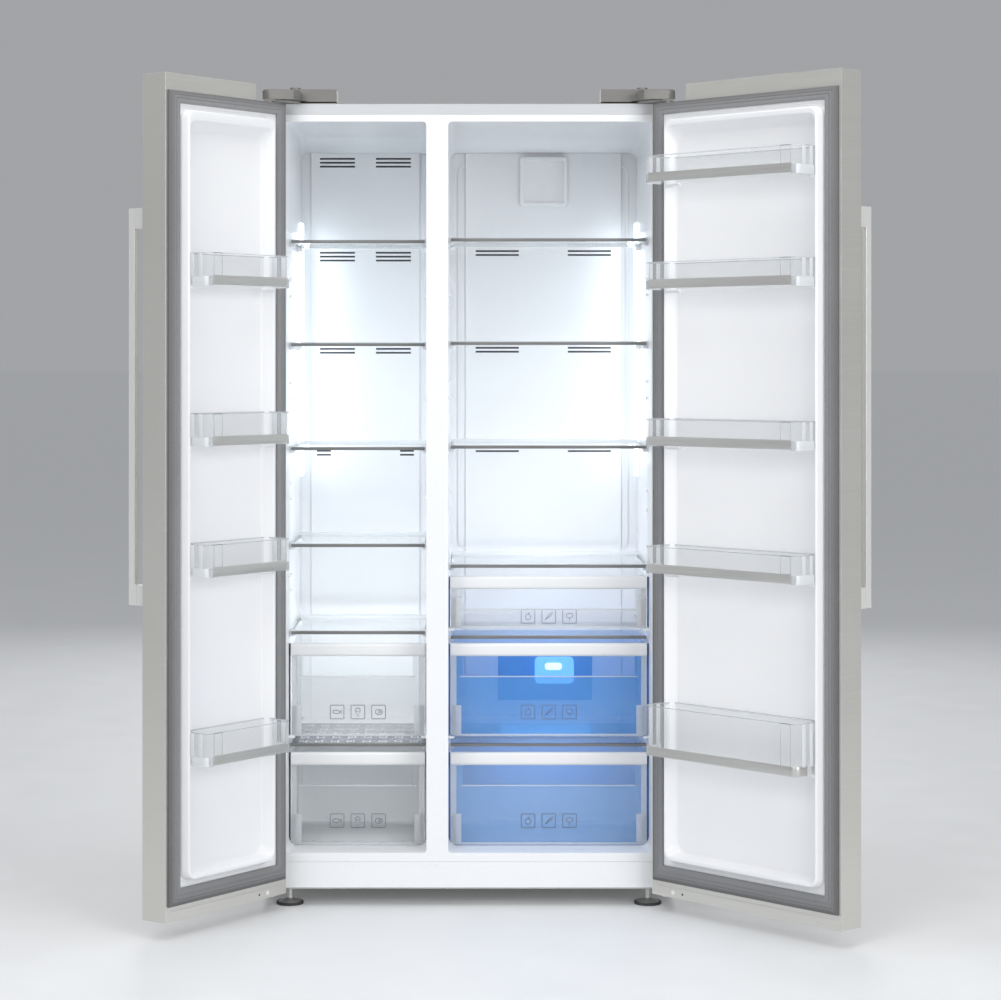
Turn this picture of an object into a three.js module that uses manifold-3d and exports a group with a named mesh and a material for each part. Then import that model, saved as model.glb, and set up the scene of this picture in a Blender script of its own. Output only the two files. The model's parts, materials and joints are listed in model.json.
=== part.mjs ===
// A side by side refrigerator: freezer on the left, refrigerator on the right, both doors standing open.
// Millimetres, +Z up. The cabinet's own frame has X = 0 at the middle of the cabinet, Y = 0 at its front
// face with +Y towards the back, and Z = 0 at the floor. The whole assembly is shifted at the end, so that
// its origin is the bottom centre of its bounding box.
import * as THREE from 'three';
import { mergeVertices } from 'three/addons/utils/BufferGeometryUtils.js';
import Module from 'manifold-3d';

const wasm = await Module();
wasm.setup();

// ---------------------------------------------------------------- driving dimensions

const gap = 0.3; // clearance between pieces that touch
const over = 5; // how far a cutting tool passes through what it cuts
const deg = Math.PI / 180;

// cabinet
const cabinetWidth = 925;
const cabinetDepth = 650;
const cabinetTop = 1790;
const cabinetBottom = 38;
const sheet = 1.5; // steel wrap and rear panel
const wallInsulation = 54.5; // outside of the cabinet to the inside of a compartment
const mullion = 49; // wall between the two compartments
const freezerWidth = 313; // inside, wall to wall
const ceilingInsulation = 41;
const ceilingDrop = 28; // the ceiling slopes down to the back by this much
const floorLevel = 117.5; // inside floor of both compartments
const linerWall = 2;
const freezerBack = 575; // front face of the liner's back wall
const fridgeBack = 545;
const humpHeight = 182; // step in the floor over the machine compartment
const humpFront = 400;
const humpSlope = 45;
const frameThickness = 2; // front frame, top rail, kick plate
const topRailHeight = 25;
const kickTop = 98;
const mouthRadius = 8; // corners of the frame's two openings
const ceilingSlope = { from: 190, to: 60 }; // where the ceiling slopes, from the back wall
const louvre = { rows: 6, above: 55, pitch: 22, height: 8, left: 40, inset: 60 };
const gland = { radius: 9, bore: 4, proud: 6, height: 80 };
const button = { radius: 4, proud: 2, below: 9 }; // on the kick plate

// doors
const doorGap = 10; // cabinet face to the inner plane of a closed door, filled by the gasket
const doorThickness = 66;
const doorRise = 30; // how far a door stands above the cabinet
const doorDrop = 1; // and below it
const doorSideInset = 1;
const doorsApart = 4; // gap between the two closed doors
const skinWall = 1.2;
const pivotInset = 20; // hinge axis from the door's hinge side
const pivotToFront = 35; // hinge axis from the door's front face
const leftOpenAngle = 126.3;
const rightOpenAngle = 133.2;
const notchLength = 100; // cut-out in a door's top for the hinge
const notchHeight = 36;
const pinRadius = 6;
const pinClearance = 0.6;

// door gasket and liner
const gasketInset = { side: 6, top: 36.5, bottom: 33 }; // from the door's edges
const gasketWidth = { side: 32, top: 26, bottom: 36 };
const gasketCrown = { width: 9, height: 5 }; // slope on its outer edge, clear of the frame as a door swings
const flangeLap = 8; // the liner's flange starts this far inside the gasket's outer edge
const flangeThickness = 2;
const skinLap = 4; // the skin's inner opening lies this far inside the flange's edge
const rimSetback = 3; // gasket's inner edge to the raised rim, on the free side
const rimClearance = { left: 12, right: 3, top: 4, bottom: 3 }; // shut door's rim to the compartment's walls
const rimHeight = 28; // above the door's inner plane
const rimDraft = 3;
const rimWidth = { side: 6, bottom: 10 };
const topRimWidth = { left: 22, right: 14 };
const pocketSlope = { top: 20, bottom: 8 };

// door bins
const freezerBinReach = 80; // bin front above the door's inner plane
const fridgeBinReach = 90;
const binBack = 6;
const binWall = 2.4;
const binEndClearance = 1;
const binCorner = 15;
const binFloor = 3;
const binOverRim = 2; // flared ends above the rim
const binFlare = { left: { hinge: 0, free: 5 }, right: { hinge: 9, free: 7 } }; // over the liner's rim
const freezerBinHeight = 70;
const fridgeBinHeight = 60;
const bottleBinHeight = 110;
const ledge = { length: 9, thickness: 6, from: 10, to: 50 }; // moulded supports under a bin's ends
// heights of the bins' undersides, as shares of the pocket's height
const freezerBinShares = [0.146, 0.395, 0.568, 0.781];
const fridgeBinShares = [0.141, 0.389, 0.562, 0.775, 0.92];

// door handles
const handleLength = 842;
const handleBottomShare = 0.37; // lower end, as a share of the door's height
const handleReach = 56;
const handleBar = 17;
const handleWidth = 12;
const handleInset = 17; // from the door's free edge
const handleFoot = 43.5;

// shelves, dividers and drawers
const drawerClearance = 6; // closed door's bins to the drawers
const shelfSetback = 12; // drawer front to shelf front
const shelfDepth = 335;
const shelfSideGap = 4;
const glassThickness = 4;
const trimHeight = 6.5;
const trimDepth = 14;
const trimProud = 0.5; // trim above the glass
const backLip = 6;
const lug = { reach: 12, height: 10, length: 22, inset: 30 };
const freezerShelfShares = [0.008, 0.179, 0.369, 0.573, 0.775]; // of the height above the drawers
const fridgeShelfShares = [0.008, 0.277, 0.511, 0.745];
const drawerSideGap = 5;
const drawerWall = 2.5;
const drawerHandleHeight = 29;
const drawerHandleDepth = 16;
const drawerBarRadius = 7;
const drawerCorner = 6;
const drawerTubSetback = 6; // tub's front behind the handle's
const drawerRimDrop = 4; // tub's rim below the handle's top
const drawerSlotInset = 27; // hand slot under the handle, from the drawer's side
const drawerSlotHeight = 45;
const drawerFloorGap = 2; // lowest drawer above the floor
const lowDrawerHeight = 209;
const lowDrawerDepth = 285;
const drawerDepth = 330;
const midDrawerHeight = 210;
const smallDrawerHeight = 118;
const rail = { reach: 14, height: 6 };
const dividerGap = { below: 13, above: 19 }; // divider to the drawers under and over it
const dividerThickness = 5;
const dividerHole = { radius: 5, rows: 3, from: 50, pitch: 90 };
const drawerTopGap = 10; // top drawer to the shelf over it

// ducts, lights and machinery
const ductFront = 520;
const ductWall = 2.5;
const ductSideGap = { freezer: 25, fridge: 38 };
const slot = { height: 4.5, pitch: 9.5 };
// air slots: how far each group's middle is from the panel's, and how far the top slot is under its shelf
const freezerVents = { near: 68, far: 101, length: 85, short: 34, below: 8, belowTop: 12, belowShort: 20 };
const fridgeVents = { away: 112, length: 105, below: 8, belowLow: 24 };
const lightDepth = 40;
const lightProud = 9;
const lightSetback = 20; // behind the shelves
const lightLength = 610;
const lightCentreShare = 0.69; // height of the lights' middle, as a share of the compartment's height
const machineFront = 420;
const machineTop = 245;
const machineSide = 20;
const panRim = { thickness: 2, height: 40 };
const baseThickness = 2;
const foot = { radius: 30, height: 8, stem: 7, inset: 62, setback: 25 };
const roller = { radius: 17, width: 22, inset: 70, setback: 60, hub: 7 };
const cheek = { gap: 2, thickness: 2, width: 24, bottom: 9 };
const bracket = { thickness: 4, length: 60, width: 66 };
const bracketEnd = 13; // bracket's edge from the pin's middle
const bracketDrop = 2; // lower bracket under the door
const pinLength = 13; // of the pin inside the door
const cover = { lift: 3, height: 28, length: 162, inset: 6, back: 55, step: 8 };
const knuckle = { reach: 22, end: 82, chamfer: 12, radius: 18 };
const screwCap = { radius: 12, height: 4, away: 69 };
const fan = { radius: 52, hub: 16, depth: 16, heightShare: 0.87 };
const fanBlade = { count: 5, pitch: 35, chord: 22, thickness: 1.6 };
const motor = { radius: 14, length: 13, gap: 1 };
const coil = { above: 60, height: 280, side: 14, gap: 4, fins: 9, groove: 16, depth: 12, margin: 8 };
const compressor = { radius: 78, height: 150, side: 200, plate: 3 };

// ---------------------------------------------------------------- derived places

const halfWidth = cabinetWidth / 2;
const cavity = { ceiling: cabinetTop - ceilingInsulation, front: frameThickness + gap };
const freezer = { left: -halfWidth + wallInsulation, back: freezerBack };
freezer.right = freezer.left + freezerWidth;
const fridge = { left: freezer.right + mullion, right: halfWidth - wallInsulation, back: fridgeBack };
const doorBack = -doorGap;
const doorFront = doorBack - doorThickness;
const pivotY = doorFront + pivotToFront;
const doorBottom = cabinetBottom - doorDrop;
const doorTop = cabinetTop + doorRise;
const doorHeight = doorTop - doorBottom;
const splitX = (freezer.right + fridge.left) / 2;
const leftDoorWidth = splitX - doorsApart / 2 + halfWidth - doorSideInset;
const rightDoorWidth = halfWidth - doorSideInset - splitX - doorsApart / 2;
const drawerFront = doorBack + Math.max(freezerBinReach, fridgeBinReach) + drawerClearance;
const shelfFront = drawerFront + shelfSetback;

const lowDrawerBottom = floorLevel + drawerFloorGap;
const lowDrawerTop = lowDrawerBottom + lowDrawerHeight;
const lowDivider = lowDrawerTop + dividerGap.below;
const midDrawerBottom = lowDivider + dividerThickness + dividerGap.above;
const midDrawerTop = midDrawerBottom + midDrawerHeight;
const highDivider = midDrawerTop + drawerTopGap;
const smallDrawerBottom = highDivider + dividerThickness + dividerGap.above;
const smallDrawerTop = smallDrawerBottom + smallDrawerHeight;

// ---------------------------------------------------------------- geometry helpers

const between = (low, high, share) => low + (high - low) * share;

function block([x0, x1], [y0, y1], [z0, z1]) {
  const geometry = new THREE.BoxGeometry(x1 - x0, y1 - y0, z1 - z0);
  return geometry.translate((x0 + x1) / 2, (y0 + y1) / 2, (z0 + z1) / 2);
}

function outline(points) {
  return new THREE.Shape(points.map(([a, b]) => new THREE.Vector2(a, b)));
}

// An outline pushed along an axis: along 'x' its points are (y, z), along 'y' (x, z), along 'z' (x, y).
function prism(shape, axis, [from, to], curveSegments = 2) {
  const settings = { depth: to - from, bevelEnabled: false, curveSegments };
  const geometry = new THREE.ExtrudeGeometry(shape, settings);
  if (axis === 'x') {
    return geometry.applyMatrix4(new THREE.Matrix4().set(0, 0, 1, from, 1, 0, 0, 0, 0, 1, 0, 0, 0, 0, 0, 1));
  }
  if (axis === 'y') {
    return geometry.rotateX(Math.PI / 2).translate(0, to, 0);
  }
  return geometry.translate(0, 0, from);
}

function roundedRect([x0, x1], [y0, y1], radius) {
  const shape = new THREE.Shape();
  shape.absarc(x0 + radius, y0 + radius, radius, Math.PI, 1.5 * Math.PI);
  shape.absarc(x1 - radius, y0 + radius, radius, 1.5 * Math.PI, 2 * Math.PI);
  shape.absarc(x1 - radius, y1 - radius, radius, 0, 0.5 * Math.PI);
  shape.absarc(x0 + radius, y1 - radius, radius, 0.5 * Math.PI, Math.PI);
  return shape;
}

function cylinder(radius, axis, [from, to], [a, b], sides = 16) {
  const geometry = new THREE.CylinderGeometry(radius, radius, to - from, sides);
  const middle = (from + to) / 2;
  if (axis === 'x') return geometry.rotateZ(Math.PI / 2).translate(middle, a, b);
  if (axis === 'y') return geometry.translate(a, middle, b);
  return geometry.rotateX(Math.PI / 2).translate(a, b, middle);
}

// A block whose section changes evenly from one rectangle to another along Y.
function taperedBlock(near, far, [y0, y1]) {
  const geometry = block([0, 1], [y0, y1], [0, 1]);
  const position = geometry.getAttribute('position');
  for (let i = 0; i < position.count; i += 1) {
    const rect = position.getY(i) < (y0 + y1) / 2 ? near : far;
    position.setX(i, rect.x[Math.round(position.getX(i))]);
    position.setZ(i, rect.z[Math.round(position.getZ(i))]);
  }
  return geometry;
}

function solid(geometry) {
  const bare = geometry.clone();
  bare.deleteAttribute('normal');
  bare.deleteAttribute('uv');
  const merged = mergeVertices(bare, 1e-4);
  const vertProperties = new Float32Array(merged.getAttribute('position').array);
  const triVerts = new Uint32Array(merged.index.array);
  return new wasm.Manifold(new wasm.Mesh({ numProp: 3, vertProperties, triVerts }));
}

const join = (...geometries) => geometries.map(solid).reduce((whole, piece) => whole.add(piece));
const cut = (whole, ...tools) => tools.reduce((left, tool) => left.subtract(solid(tool)), whole);

function surface(body) {
  const { vertProperties, triVerts, numProp } = body.getMesh();
  const geometry = new THREE.BufferGeometry();
  const positions = new Float32Array((vertProperties.length / numProp) * 3);
  for (let i = 0; i < positions.length / 3; i += 1) {
    positions.set(vertProperties.subarray(i * numProp, i * numProp + 3), i * 3);
  }
  geometry.setAttribute('position', new THREE.BufferAttribute(positions, 3));
  geometry.setIndex(new THREE.BufferAttribute(new Uint32Array(triVerts), 1));
  geometry.computeVertexNormals();
  return geometry;
}

// ---------------------------------------------------------------- materials

const finishes = {
  champagneSteel: { color: 0xb1aea6, roughness: 0.42, metalness: 0.75 },
  silver: { color: 0xd4d3d0, roughness: 0.32, metalness: 0.8 },
  greyPaint: { color: 0x9c9b98, roughness: 0.5, metalness: 0.3 },
  whitePaint: { color: 0xf1f2f5, roughness: 0.35, metalness: 0.05 },
  whitePlastic: { color: 0xeef0f3, roughness: 0.45, metalness: 0 },
  lightRail: { color: 0xcfd1d4, roughness: 0.4, metalness: 0.1 },
  gasketRubber: { color: 0x59595b, roughness: 0.7, metalness: 0 },
  clearPlastic: { color: 0xe8f0f4, roughness: 0.12, metalness: 0 },
  shelfGlass: { color: 0xdfecee, roughness: 0.05, metalness: 0 },
  foam: { color: 0xe2d3a4, roughness: 0.95, metalness: 0 },
  zinc: { color: 0xa9abad, roughness: 0.4, metalness: 0.7 },
  chrome: { color: 0xd9dadc, roughness: 0.12, metalness: 0.95 },
  blackPaint: { color: 0x202123, roughness: 0.5, metalness: 0.3 },
  aluminium: { color: 0xbfc3c6, roughness: 0.45, metalness: 0.8 },
  blackPlastic: { color: 0x2b2c2e, roughness: 0.6, metalness: 0 },
  lens: { color: 0xf4faff, roughness: 0.25, metalness: 0 },
};

function piece(name, geometry, finish) {
  const mesh = new THREE.Mesh(geometry, new THREE.MeshStandardMaterial(finishes[finish]));
  mesh.name = name;
  return mesh;
}

// ---------------------------------------------------------------- cabinet

function cabinetWrap() {
  const outer = block([-halfWidth, halfWidth], [0, cabinetDepth], [cabinetBottom, cabinetTop]);
  const inside = [-halfWidth + sheet, halfWidth - sheet];
  const inner = block(inside, [-over, cabinetDepth + over], [cabinetBottom - over, cabinetTop - sheet]);
  return piece('cabinet_wrap', surface(cut(solid(outer), inner)), 'greyPaint');
}

function rearPanel() {
  const x = [-halfWidth + sheet + gap, halfWidth - sheet - gap];
  const y = [cabinetDepth - sheet, cabinetDepth];
  const z = [cabinetBottom + baseThickness + 2 * gap, cabinetTop - sheet - gap];
  const outlet = [-halfWidth / 2, gland.height];
  const body = join(block(x, y, z), cylinder(gland.radius, 'y', [y[0], y[1] + gland.proud], outlet));
  const louvres = [];
  for (let row = 0; row < louvre.rows; row += 1) {
    const low = cabinetBottom + louvre.above + row * louvre.pitch;
    const width = [louvre.left, halfWidth - louvre.inset];
    louvres.push(block(width, [y[0] - over, y[1] + over], [low, low + louvre.height]));
  }
  const bore = cylinder(gland.bore, 'y', [y[0] - over, y[1] + gland.proud + over], outlet, 12);
  return piece('rear_panel', surface(cut(body, bore, ...louvres)), 'zinc');
}

// Outline of a compartment seen from the side, grown outwards by a margin.
function cavityProfile(back, margin) {
  const hump = floorLevel + humpHeight;
  return outline([
    [-over, floorLevel - margin],
    [humpFront, floorLevel - margin],
    [humpFront + humpSlope, hump - margin],
    [back + margin, hump - margin],
    [back + margin, cavity.ceiling - ceilingDrop + margin],
    [back - ceilingSlope.to, cavity.ceiling - ceilingDrop + margin],
    [back - ceilingSlope.from, cavity.ceiling + margin],
    [-over, cavity.ceiling + margin],
  ]);
}

function foamCore() {
  const side = halfWidth - sheet - gap;
  const y = [frameThickness + gap, cabinetDepth - sheet - gap];
  const body = solid(block([-side, side], y, [kickTop + frameThickness, cabinetTop - sheet - gap]));
  const margin = linerWall + gap;
  const machineWidth = [-side + machineSide, side - machineSide];
  const machine = block(machineWidth, [machineFront, cabinetDepth], [0, machineTop]);
  const rooms = [freezer, fridge].map((room) =>
    prism(cavityProfile(room.back, margin), 'x', [room.left - margin, room.right + margin]));
  return piece('foam_core', surface(cut(body, ...rooms, machine)), 'foam');
}

// Shelf levels from the lowest up, given as shares of the height above the drawers.
const shelfLevels = (base, shares) => shares.map((share) => between(base, cavity.ceiling, share));
const freezerBase = midDrawerTop + drawerTopGap + trimHeight;
const fridgeBase = smallDrawerTop + drawerTopGap + trimHeight;
const freezerShelves = shelfLevels(freezerBase, freezerShelfShares);
const fridgeShelves = shelfLevels(fridgeBase, fridgeShelfShares);

// Lugs under a shelf and rails under a drawer, moulded into both side walls.
function wallBlocks(room, reach, [y0, y1], [z0, z1]) {
  return [
    block([room.left - linerWall / 2, room.left + reach], [y0, y1], [z0, z1]),
    block([room.right - reach, room.right + linerWall / 2], [y0, y1], [z0, z1]),
  ];
}

function shelfLugs(room, top) {
  const starts = [shelfFront + lug.inset, shelfFront + shelfDepth - lug.inset - lug.length];
  return starts.flatMap((y) => wallBlocks(room, lug.reach, [y, y + lug.length], [top - lug.height, top]));
}

function liner(name, room, shelves, dividers, drawers) {
  const y = [cavity.front, room.back + linerWall];
  const shell = solid(prism(cavityProfile(room.back, linerWall), 'x',
    [room.left - linerWall, room.right + linerWall]));
  const hollow = prism(cavityProfile(room.back, 0), 'x', [room.left, room.right]);
  const frontTrim = block([room.left - over, room.right + over], [-2 * over, y[0]], [0, cabinetTop]);
  const body = cut(shell, hollow, frontTrim);
  const lugs = [
    ...shelves.flatMap((top) => shelfLugs(room, top - glassThickness - gap)),
    ...dividers.flatMap((level) => shelfLugs(room, level - gap)),
    ...drawers.flatMap((level) => wallBlocks(room, rail.reach,
      [drawerFront + over, drawerFront + drawerDepth], [level - gap - rail.height, level - gap])),
  ];
  return piece(name, surface(lugs.reduce((whole, item) => whole.add(solid(item)), body)), 'whitePlastic');
}

function frontFrame() {
  const x = [-halfWidth + sheet + gap, halfWidth - sheet - gap];
  const y = [0, frameThickness];
  const body = solid(block(x, y, [kickTop + gap, cabinetTop - topRailHeight - gap]));
  const mouths = [freezer, fridge].map((room) => {
    const mouth = roundedRect([room.left, room.right], [floorLevel, cavity.ceiling], mouthRadius);
    return prism(mouth, 'y', [-over, over]);
  });
  return piece('front_frame', surface(cut(body, ...mouths)), 'whitePaint');
}

function topRail() {
  const x = [-halfWidth + sheet + gap, halfWidth - sheet - gap];
  const z = [cabinetTop - topRailHeight, cabinetTop - sheet - gap];
  return piece('top_rail', block(x, [0, frameThickness], z), 'lightRail');
}

function kickPlate() {
  const x = [-halfWidth + sheet + gap, halfWidth - sheet - gap];
  const z = [cabinetBottom + baseThickness + 2 * gap, kickTop];
  const height = kickTop - button.below;
  const knob = cylinder(button.radius, 'y', [-button.proud, frameThickness / 2], [splitX, height]);
  return piece('kick_plate', surface(join(block(x, [0, frameThickness], z), knob)), 'whitePaint');
}

// Floor pan with the rollers' cheeks hanging from its back.
function basePan() {
  const side = halfWidth - sheet - gap;
  const z = [cabinetBottom, cabinetBottom + baseThickness];
  const plate = block([-side, side], [0, cabinetDepth], z);
  const cheeks = [];
  for (const sign of [-1, 1]) {
    for (const face of [-1, 1]) {
      const x = sign * (side - roller.inset) + face * (roller.width / 2 + cheek.gap);
      const middle = cabinetDepth - roller.setback;
      const length = [middle - cheek.width / 2, middle + cheek.width / 2];
      const thickness = [x - cheek.thickness / 2, x + cheek.thickness / 2];
      cheeks.push(block(thickness, length, [cheek.bottom, z[1] - baseThickness / 2]));
    }
  }
  const rimDepth = [machineFront, machineFront + panRim.thickness];
  const rim = block([-side, side], rimDepth, [z[0], z[1] + panRim.height]);
  return piece('base_pan', surface(join(plate, rim, ...cheeks)), 'zinc');
}

// ---------------------------------------------------------------- shelves, dividers, drawers

// A glass plate with a trim along its front and its back edge.
function glassShelf(name, room, top) {
  const x = [room.left + shelfSideGap, room.right - shelfSideGap];
  const back = shelfFront + shelfDepth;
  const z = [top - trimHeight + trimProud, top + trimProud];
  const pane = block(x, [shelfFront + trimProud, back - trimProud], [top - glassThickness, top]);
  const shelf = join(pane, block(x, [shelfFront, shelfFront + trimDepth], z),
    block(x, [back - trimDepth, back], [top - glassThickness, top + backLip]));
  return piece(name, surface(shelf), 'shelfGlass');
}

function divider(name, room, level, holes) {
  const x = [room.left + shelfSideGap, room.right - shelfSideGap];
  const plate = solid(block(x, [shelfFront, shelfFront + shelfDepth], [level, level + dividerThickness]));
  const through = [level - over, level + dividerThickness + over];
  const tools = [];
  for (let column = 0; column < holes; column += 1) {
    for (let row = 0; row < dividerHole.rows; row += 1) {
      const a = between(x[0], x[1], (column + 0.5) / holes);
      const b = shelfFront + dividerHole.from + row * dividerHole.pitch;
      tools.push(cylinder(dividerHole.radius, 'z', through, [a, b], 8));
    }
  }
  return piece(name, surface(cut(plate, ...tools)), 'clearPlastic');
}

// An open tub with a handle bar along the top of its front and a hand slot under the bar.
function drawer(name, room, bottom, height, depth) {
  const x = [room.left + drawerSideGap, room.right - drawerSideGap];
  const y = [drawerFront + drawerTubSetback, drawerFront + depth];
  const top = bottom + height;
  const inside = { x: [x[0] + drawerWall, x[1] - drawerWall], y: [y[0] + drawerWall, y[1] - drawerWall] };
  const tub = solid(prism(roundedRect(x, y, drawerCorner), 'z', [bottom, top - drawerRimDrop], 1));
  const hollow = block(inside.x, inside.y, [bottom + drawerWall, top + over]);
  const slotTop = top - drawerHandleHeight;
  const handSlot = block([x[0] + drawerSlotInset, x[1] - drawerSlotInset],
    [drawerFront - over, inside.y[0] + 1], [slotTop - drawerSlotHeight, slotTop + 1]);
  const barDepth = [drawerFront, drawerFront + drawerHandleDepth];
  const barProfile = roundedRect(barDepth, [slotTop, top], drawerBarRadius);
  const bar = solid(prism(barProfile, 'x', x));
  return piece(name, surface(cut(tub, hollow, handSlot).add(bar)), 'clearPlastic');
}

// ---------------------------------------------------------------- ducts, lights, machinery

const fanHeight = between(floorLevel, cavity.ceiling, fan.heightShare);

// Rows of air slots through a duct panel: two groups side by side.
function slotRows(centres, top, rows, length) {
  const tools = [];
  for (const x of centres) {
    for (let row = 0; row < rows; row += 1) {
      const z = top - row * slot.pitch;
      const span = [x - length / 2, x + length / 2];
      tools.push(block(span, [ductFront - over, ductFront + over], [z - slot.height, z]));
    }
  }
  return tools;
}

function ductPanel(name, room, sideGap, slots, extras) {
  const x = [room.left + sideGap, room.right - sideGap];
  const z = [floorLevel + humpHeight + gap, cavity.ceiling - ceilingDrop - gap];
  const shell = solid(block(x, [ductFront, room.back - gap], z));
  const hollow = block([x[0] + ductWall, x[1] - ductWall], [ductFront + ductWall, room.back + over],
    [z[0] + ductWall, z[1] - ductWall]);
  const body = extras.reduce((whole, item) => whole.add(solid(item)), cut(shell, hollow));
  return piece(name, surface(cut(body, ...slots)), 'whitePlastic');
}

function freezerDuct() {
  const middle = (freezer.left + freezer.right) / 2;
  const { near, far, length, short, below, belowTop, belowShort } = freezerVents;
  const centres = [middle - near, middle + near];
  const slots = [
    ...slotRows(centres, cavity.ceiling - ceilingDrop - belowTop, 3, length),
    ...slotRows(centres, freezerShelves[4] - below, 3, length),
    ...slotRows(centres, freezerShelves[3] - below, 2, length),
    ...slotRows([middle - far, middle + far], freezerShelves[2] - belowShort, 2, short),
  ];
  const motorLength = [ductFront + ductWall / 2, ductFront + motor.length + motor.gap];
  const fanMotor = cylinder(motor.radius, 'y', motorLength, [middle, fanHeight]);
  return ductPanel('freezer_duct_panel', freezer, ductSideGap.freezer, slots, [fanMotor]);
}

function fridgeDuct() {
  const middle = (fridge.left + fridge.right) / 2;
  const { away, length, below, belowLow } = fridgeVents;
  const centres = [middle - away, middle + away];
  const slots = [
    ...slotRows(centres, fridgeShelves[3] - below, 2, length),
    ...slotRows(centres, fridgeShelves[2] - below, 2, length),
    ...slotRows(centres, fridgeShelves[1] - belowLow, 1, length),
  ];
  return ductPanel('fridge_duct_panel', fridge, ductSideGap.fridge, slots, []);
}

function evaporatorFan() {
  const middle = (freezer.left + freezer.right) / 2;
  const near = ductFront + motor.length + 2 * motor.gap;
  const y = [near, near + fan.depth];
  const root = fan.hub * 0.75; // blades start inside the hub
  const parts = [cylinder(fan.hub, 'y', y, [middle, fanHeight])];
  for (let index = 0; index < fanBlade.count; index += 1) {
    const blade = new THREE.BoxGeometry(fan.radius - root, fanBlade.thickness, fanBlade.chord);
    blade.rotateX(fanBlade.pitch * deg).translate((fan.radius + root) / 2, 0, 0);
    blade.rotateY((index * 360 * deg) / fanBlade.count).translate(middle, (y[0] + y[1]) / 2, fanHeight);
    parts.push(blade);
  }
  return piece('evaporator_fan', surface(join(...parts)), 'blackPlastic');
}

function evaporator() {
  const side = ductSideGap.freezer + coil.side;
  const x = [freezer.left + side, freezer.right - side];
  const low = floorLevel + humpHeight + coil.above;
  const y = [ductFront + ductWall + coil.gap, freezer.back - coil.gap];
  const grooves = [];
  for (let index = 0; index < coil.fins; index += 1) {
    const at = between(x[0], x[1], (index + 0.5) / coil.fins);
    grooves.push(block([at - coil.groove / 2, at + coil.groove / 2], [y[0] - over, y[0] + coil.depth],
      [low + coil.margin, low + coil.height - coil.margin]));
  }
  const core = solid(block(x, y, [low, low + coil.height]));
  return piece('evaporator', surface(cut(core, ...grooves)), 'aluminium');
}

function compressorUnit() {
  const { radius, height, side, plate } = compressor;
  const rise = [[0, 0], [radius * 0.94, 0], [radius, 18], [radius, height - 45], [radius * 0.8, height - 14],
    [radius * 0.4, height], [0, height]];
  const can = new THREE.LatheGeometry(rise.map(([r, h]) => new THREE.Vector2(r, h)), 24);
  can.rotateX(Math.PI / 2).translate(0, 0, plate - 1);
  const base = block([-side / 2, side / 2], [-side / 2 + 20, side / 2 - 20], [0, plate]);
  const mesh = piece('compressor', surface(join(can, base)), 'blackPaint');
  mesh.position.set(halfWidth / 2, (machineFront + cabinetDepth) / 2, cabinetBottom + baseThickness + gap);
  return mesh;
}

function lightStrip(name, wall, side) {
  const faces = [wall + side * gap, wall + side * lightProud].sort((a, b) => a - b);
  const near = shelfFront + shelfDepth + lightSetback;
  const y = [near, near + lightDepth];
  const middle = between(floorLevel, cavity.ceiling, lightCentreShare);
  return piece(name, block(faces, y, [middle - lightLength / 2, middle + lightLength / 2]), 'lens');
}

function frontFoot(name, side) {
  const rise = [[0, 0], [foot.radius, 0], [foot.radius, foot.height - 3], [foot.stem + 4, foot.height + 4],
    [foot.stem, foot.height + 6], [foot.stem, cabinetBottom - gap], [0, cabinetBottom - gap]];
  const body = new THREE.LatheGeometry(rise.map(([r, h]) => new THREE.Vector2(r, h)), 24);
  const mesh = piece(name, surface(solid(body.rotateX(Math.PI / 2))), 'zinc');
  mesh.position.set(side * (halfWidth - foot.inset), foot.setback, 0);
  return mesh;
}

function rearRoller(name, side) {
  const half = roller.width / 2;
  const wheel = cylinder(roller.radius, 'x', [-half, half], [0, 0], 24);
  const hub = cylinder(roller.hub, 'x', [-half - 2 * gap, half + 2 * gap], [0, 0]);
  const mesh = piece(name, surface(join(wheel, hub)), 'blackPlastic');
  const x = side * (halfWidth - sheet - gap - roller.inset);
  mesh.position.set(x, cabinetDepth - roller.setback, roller.radius);
  return mesh;
}

// ---------------------------------------------------------------- hinges (left side; the right is mirrored)

const pivotX = -halfWidth + doorSideInset + pivotInset;

function upperBracket() {
  const z = [cabinetTop + gap, cabinetTop + gap + bracket.thickness];
  const plate = outline([
    [pivotX - bracketEnd, pivotY - bracketEnd], [pivotX + bracketEnd, pivotY - bracketEnd],
    [pivotX + bracket.width, over], [pivotX + bracket.width, bracket.length - bracketEnd],
    [pivotX - bracketEnd, bracket.length - bracketEnd],
  ]);
  const notchFloor = doorTop - notchHeight;
  const pin = cylinder(pinRadius, 'z', [notchFloor - pinLength, z[1] - 1], [pivotX, pivotY]);
  return surface(join(prism(plate, 'z', z), pin));
}

function lowerBracket() {
  const top = doorBottom - bracketDrop;
  const z = [top - bracket.thickness, top];
  const x = [pivotX - bracketEnd, pivotX + bracketEnd];
  const tongue = block(x, [pivotY - bracketEnd, bracket.length], z);
  const pad = block(x, [over, bracket.length], [top - 1, cabinetBottom - gap]);
  const pin = cylinder(pinRadius, 'z', [top - 1, doorBottom + pinLength], [pivotX, pivotY]);
  return surface(join(tongue, pad, pin));
}

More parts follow.
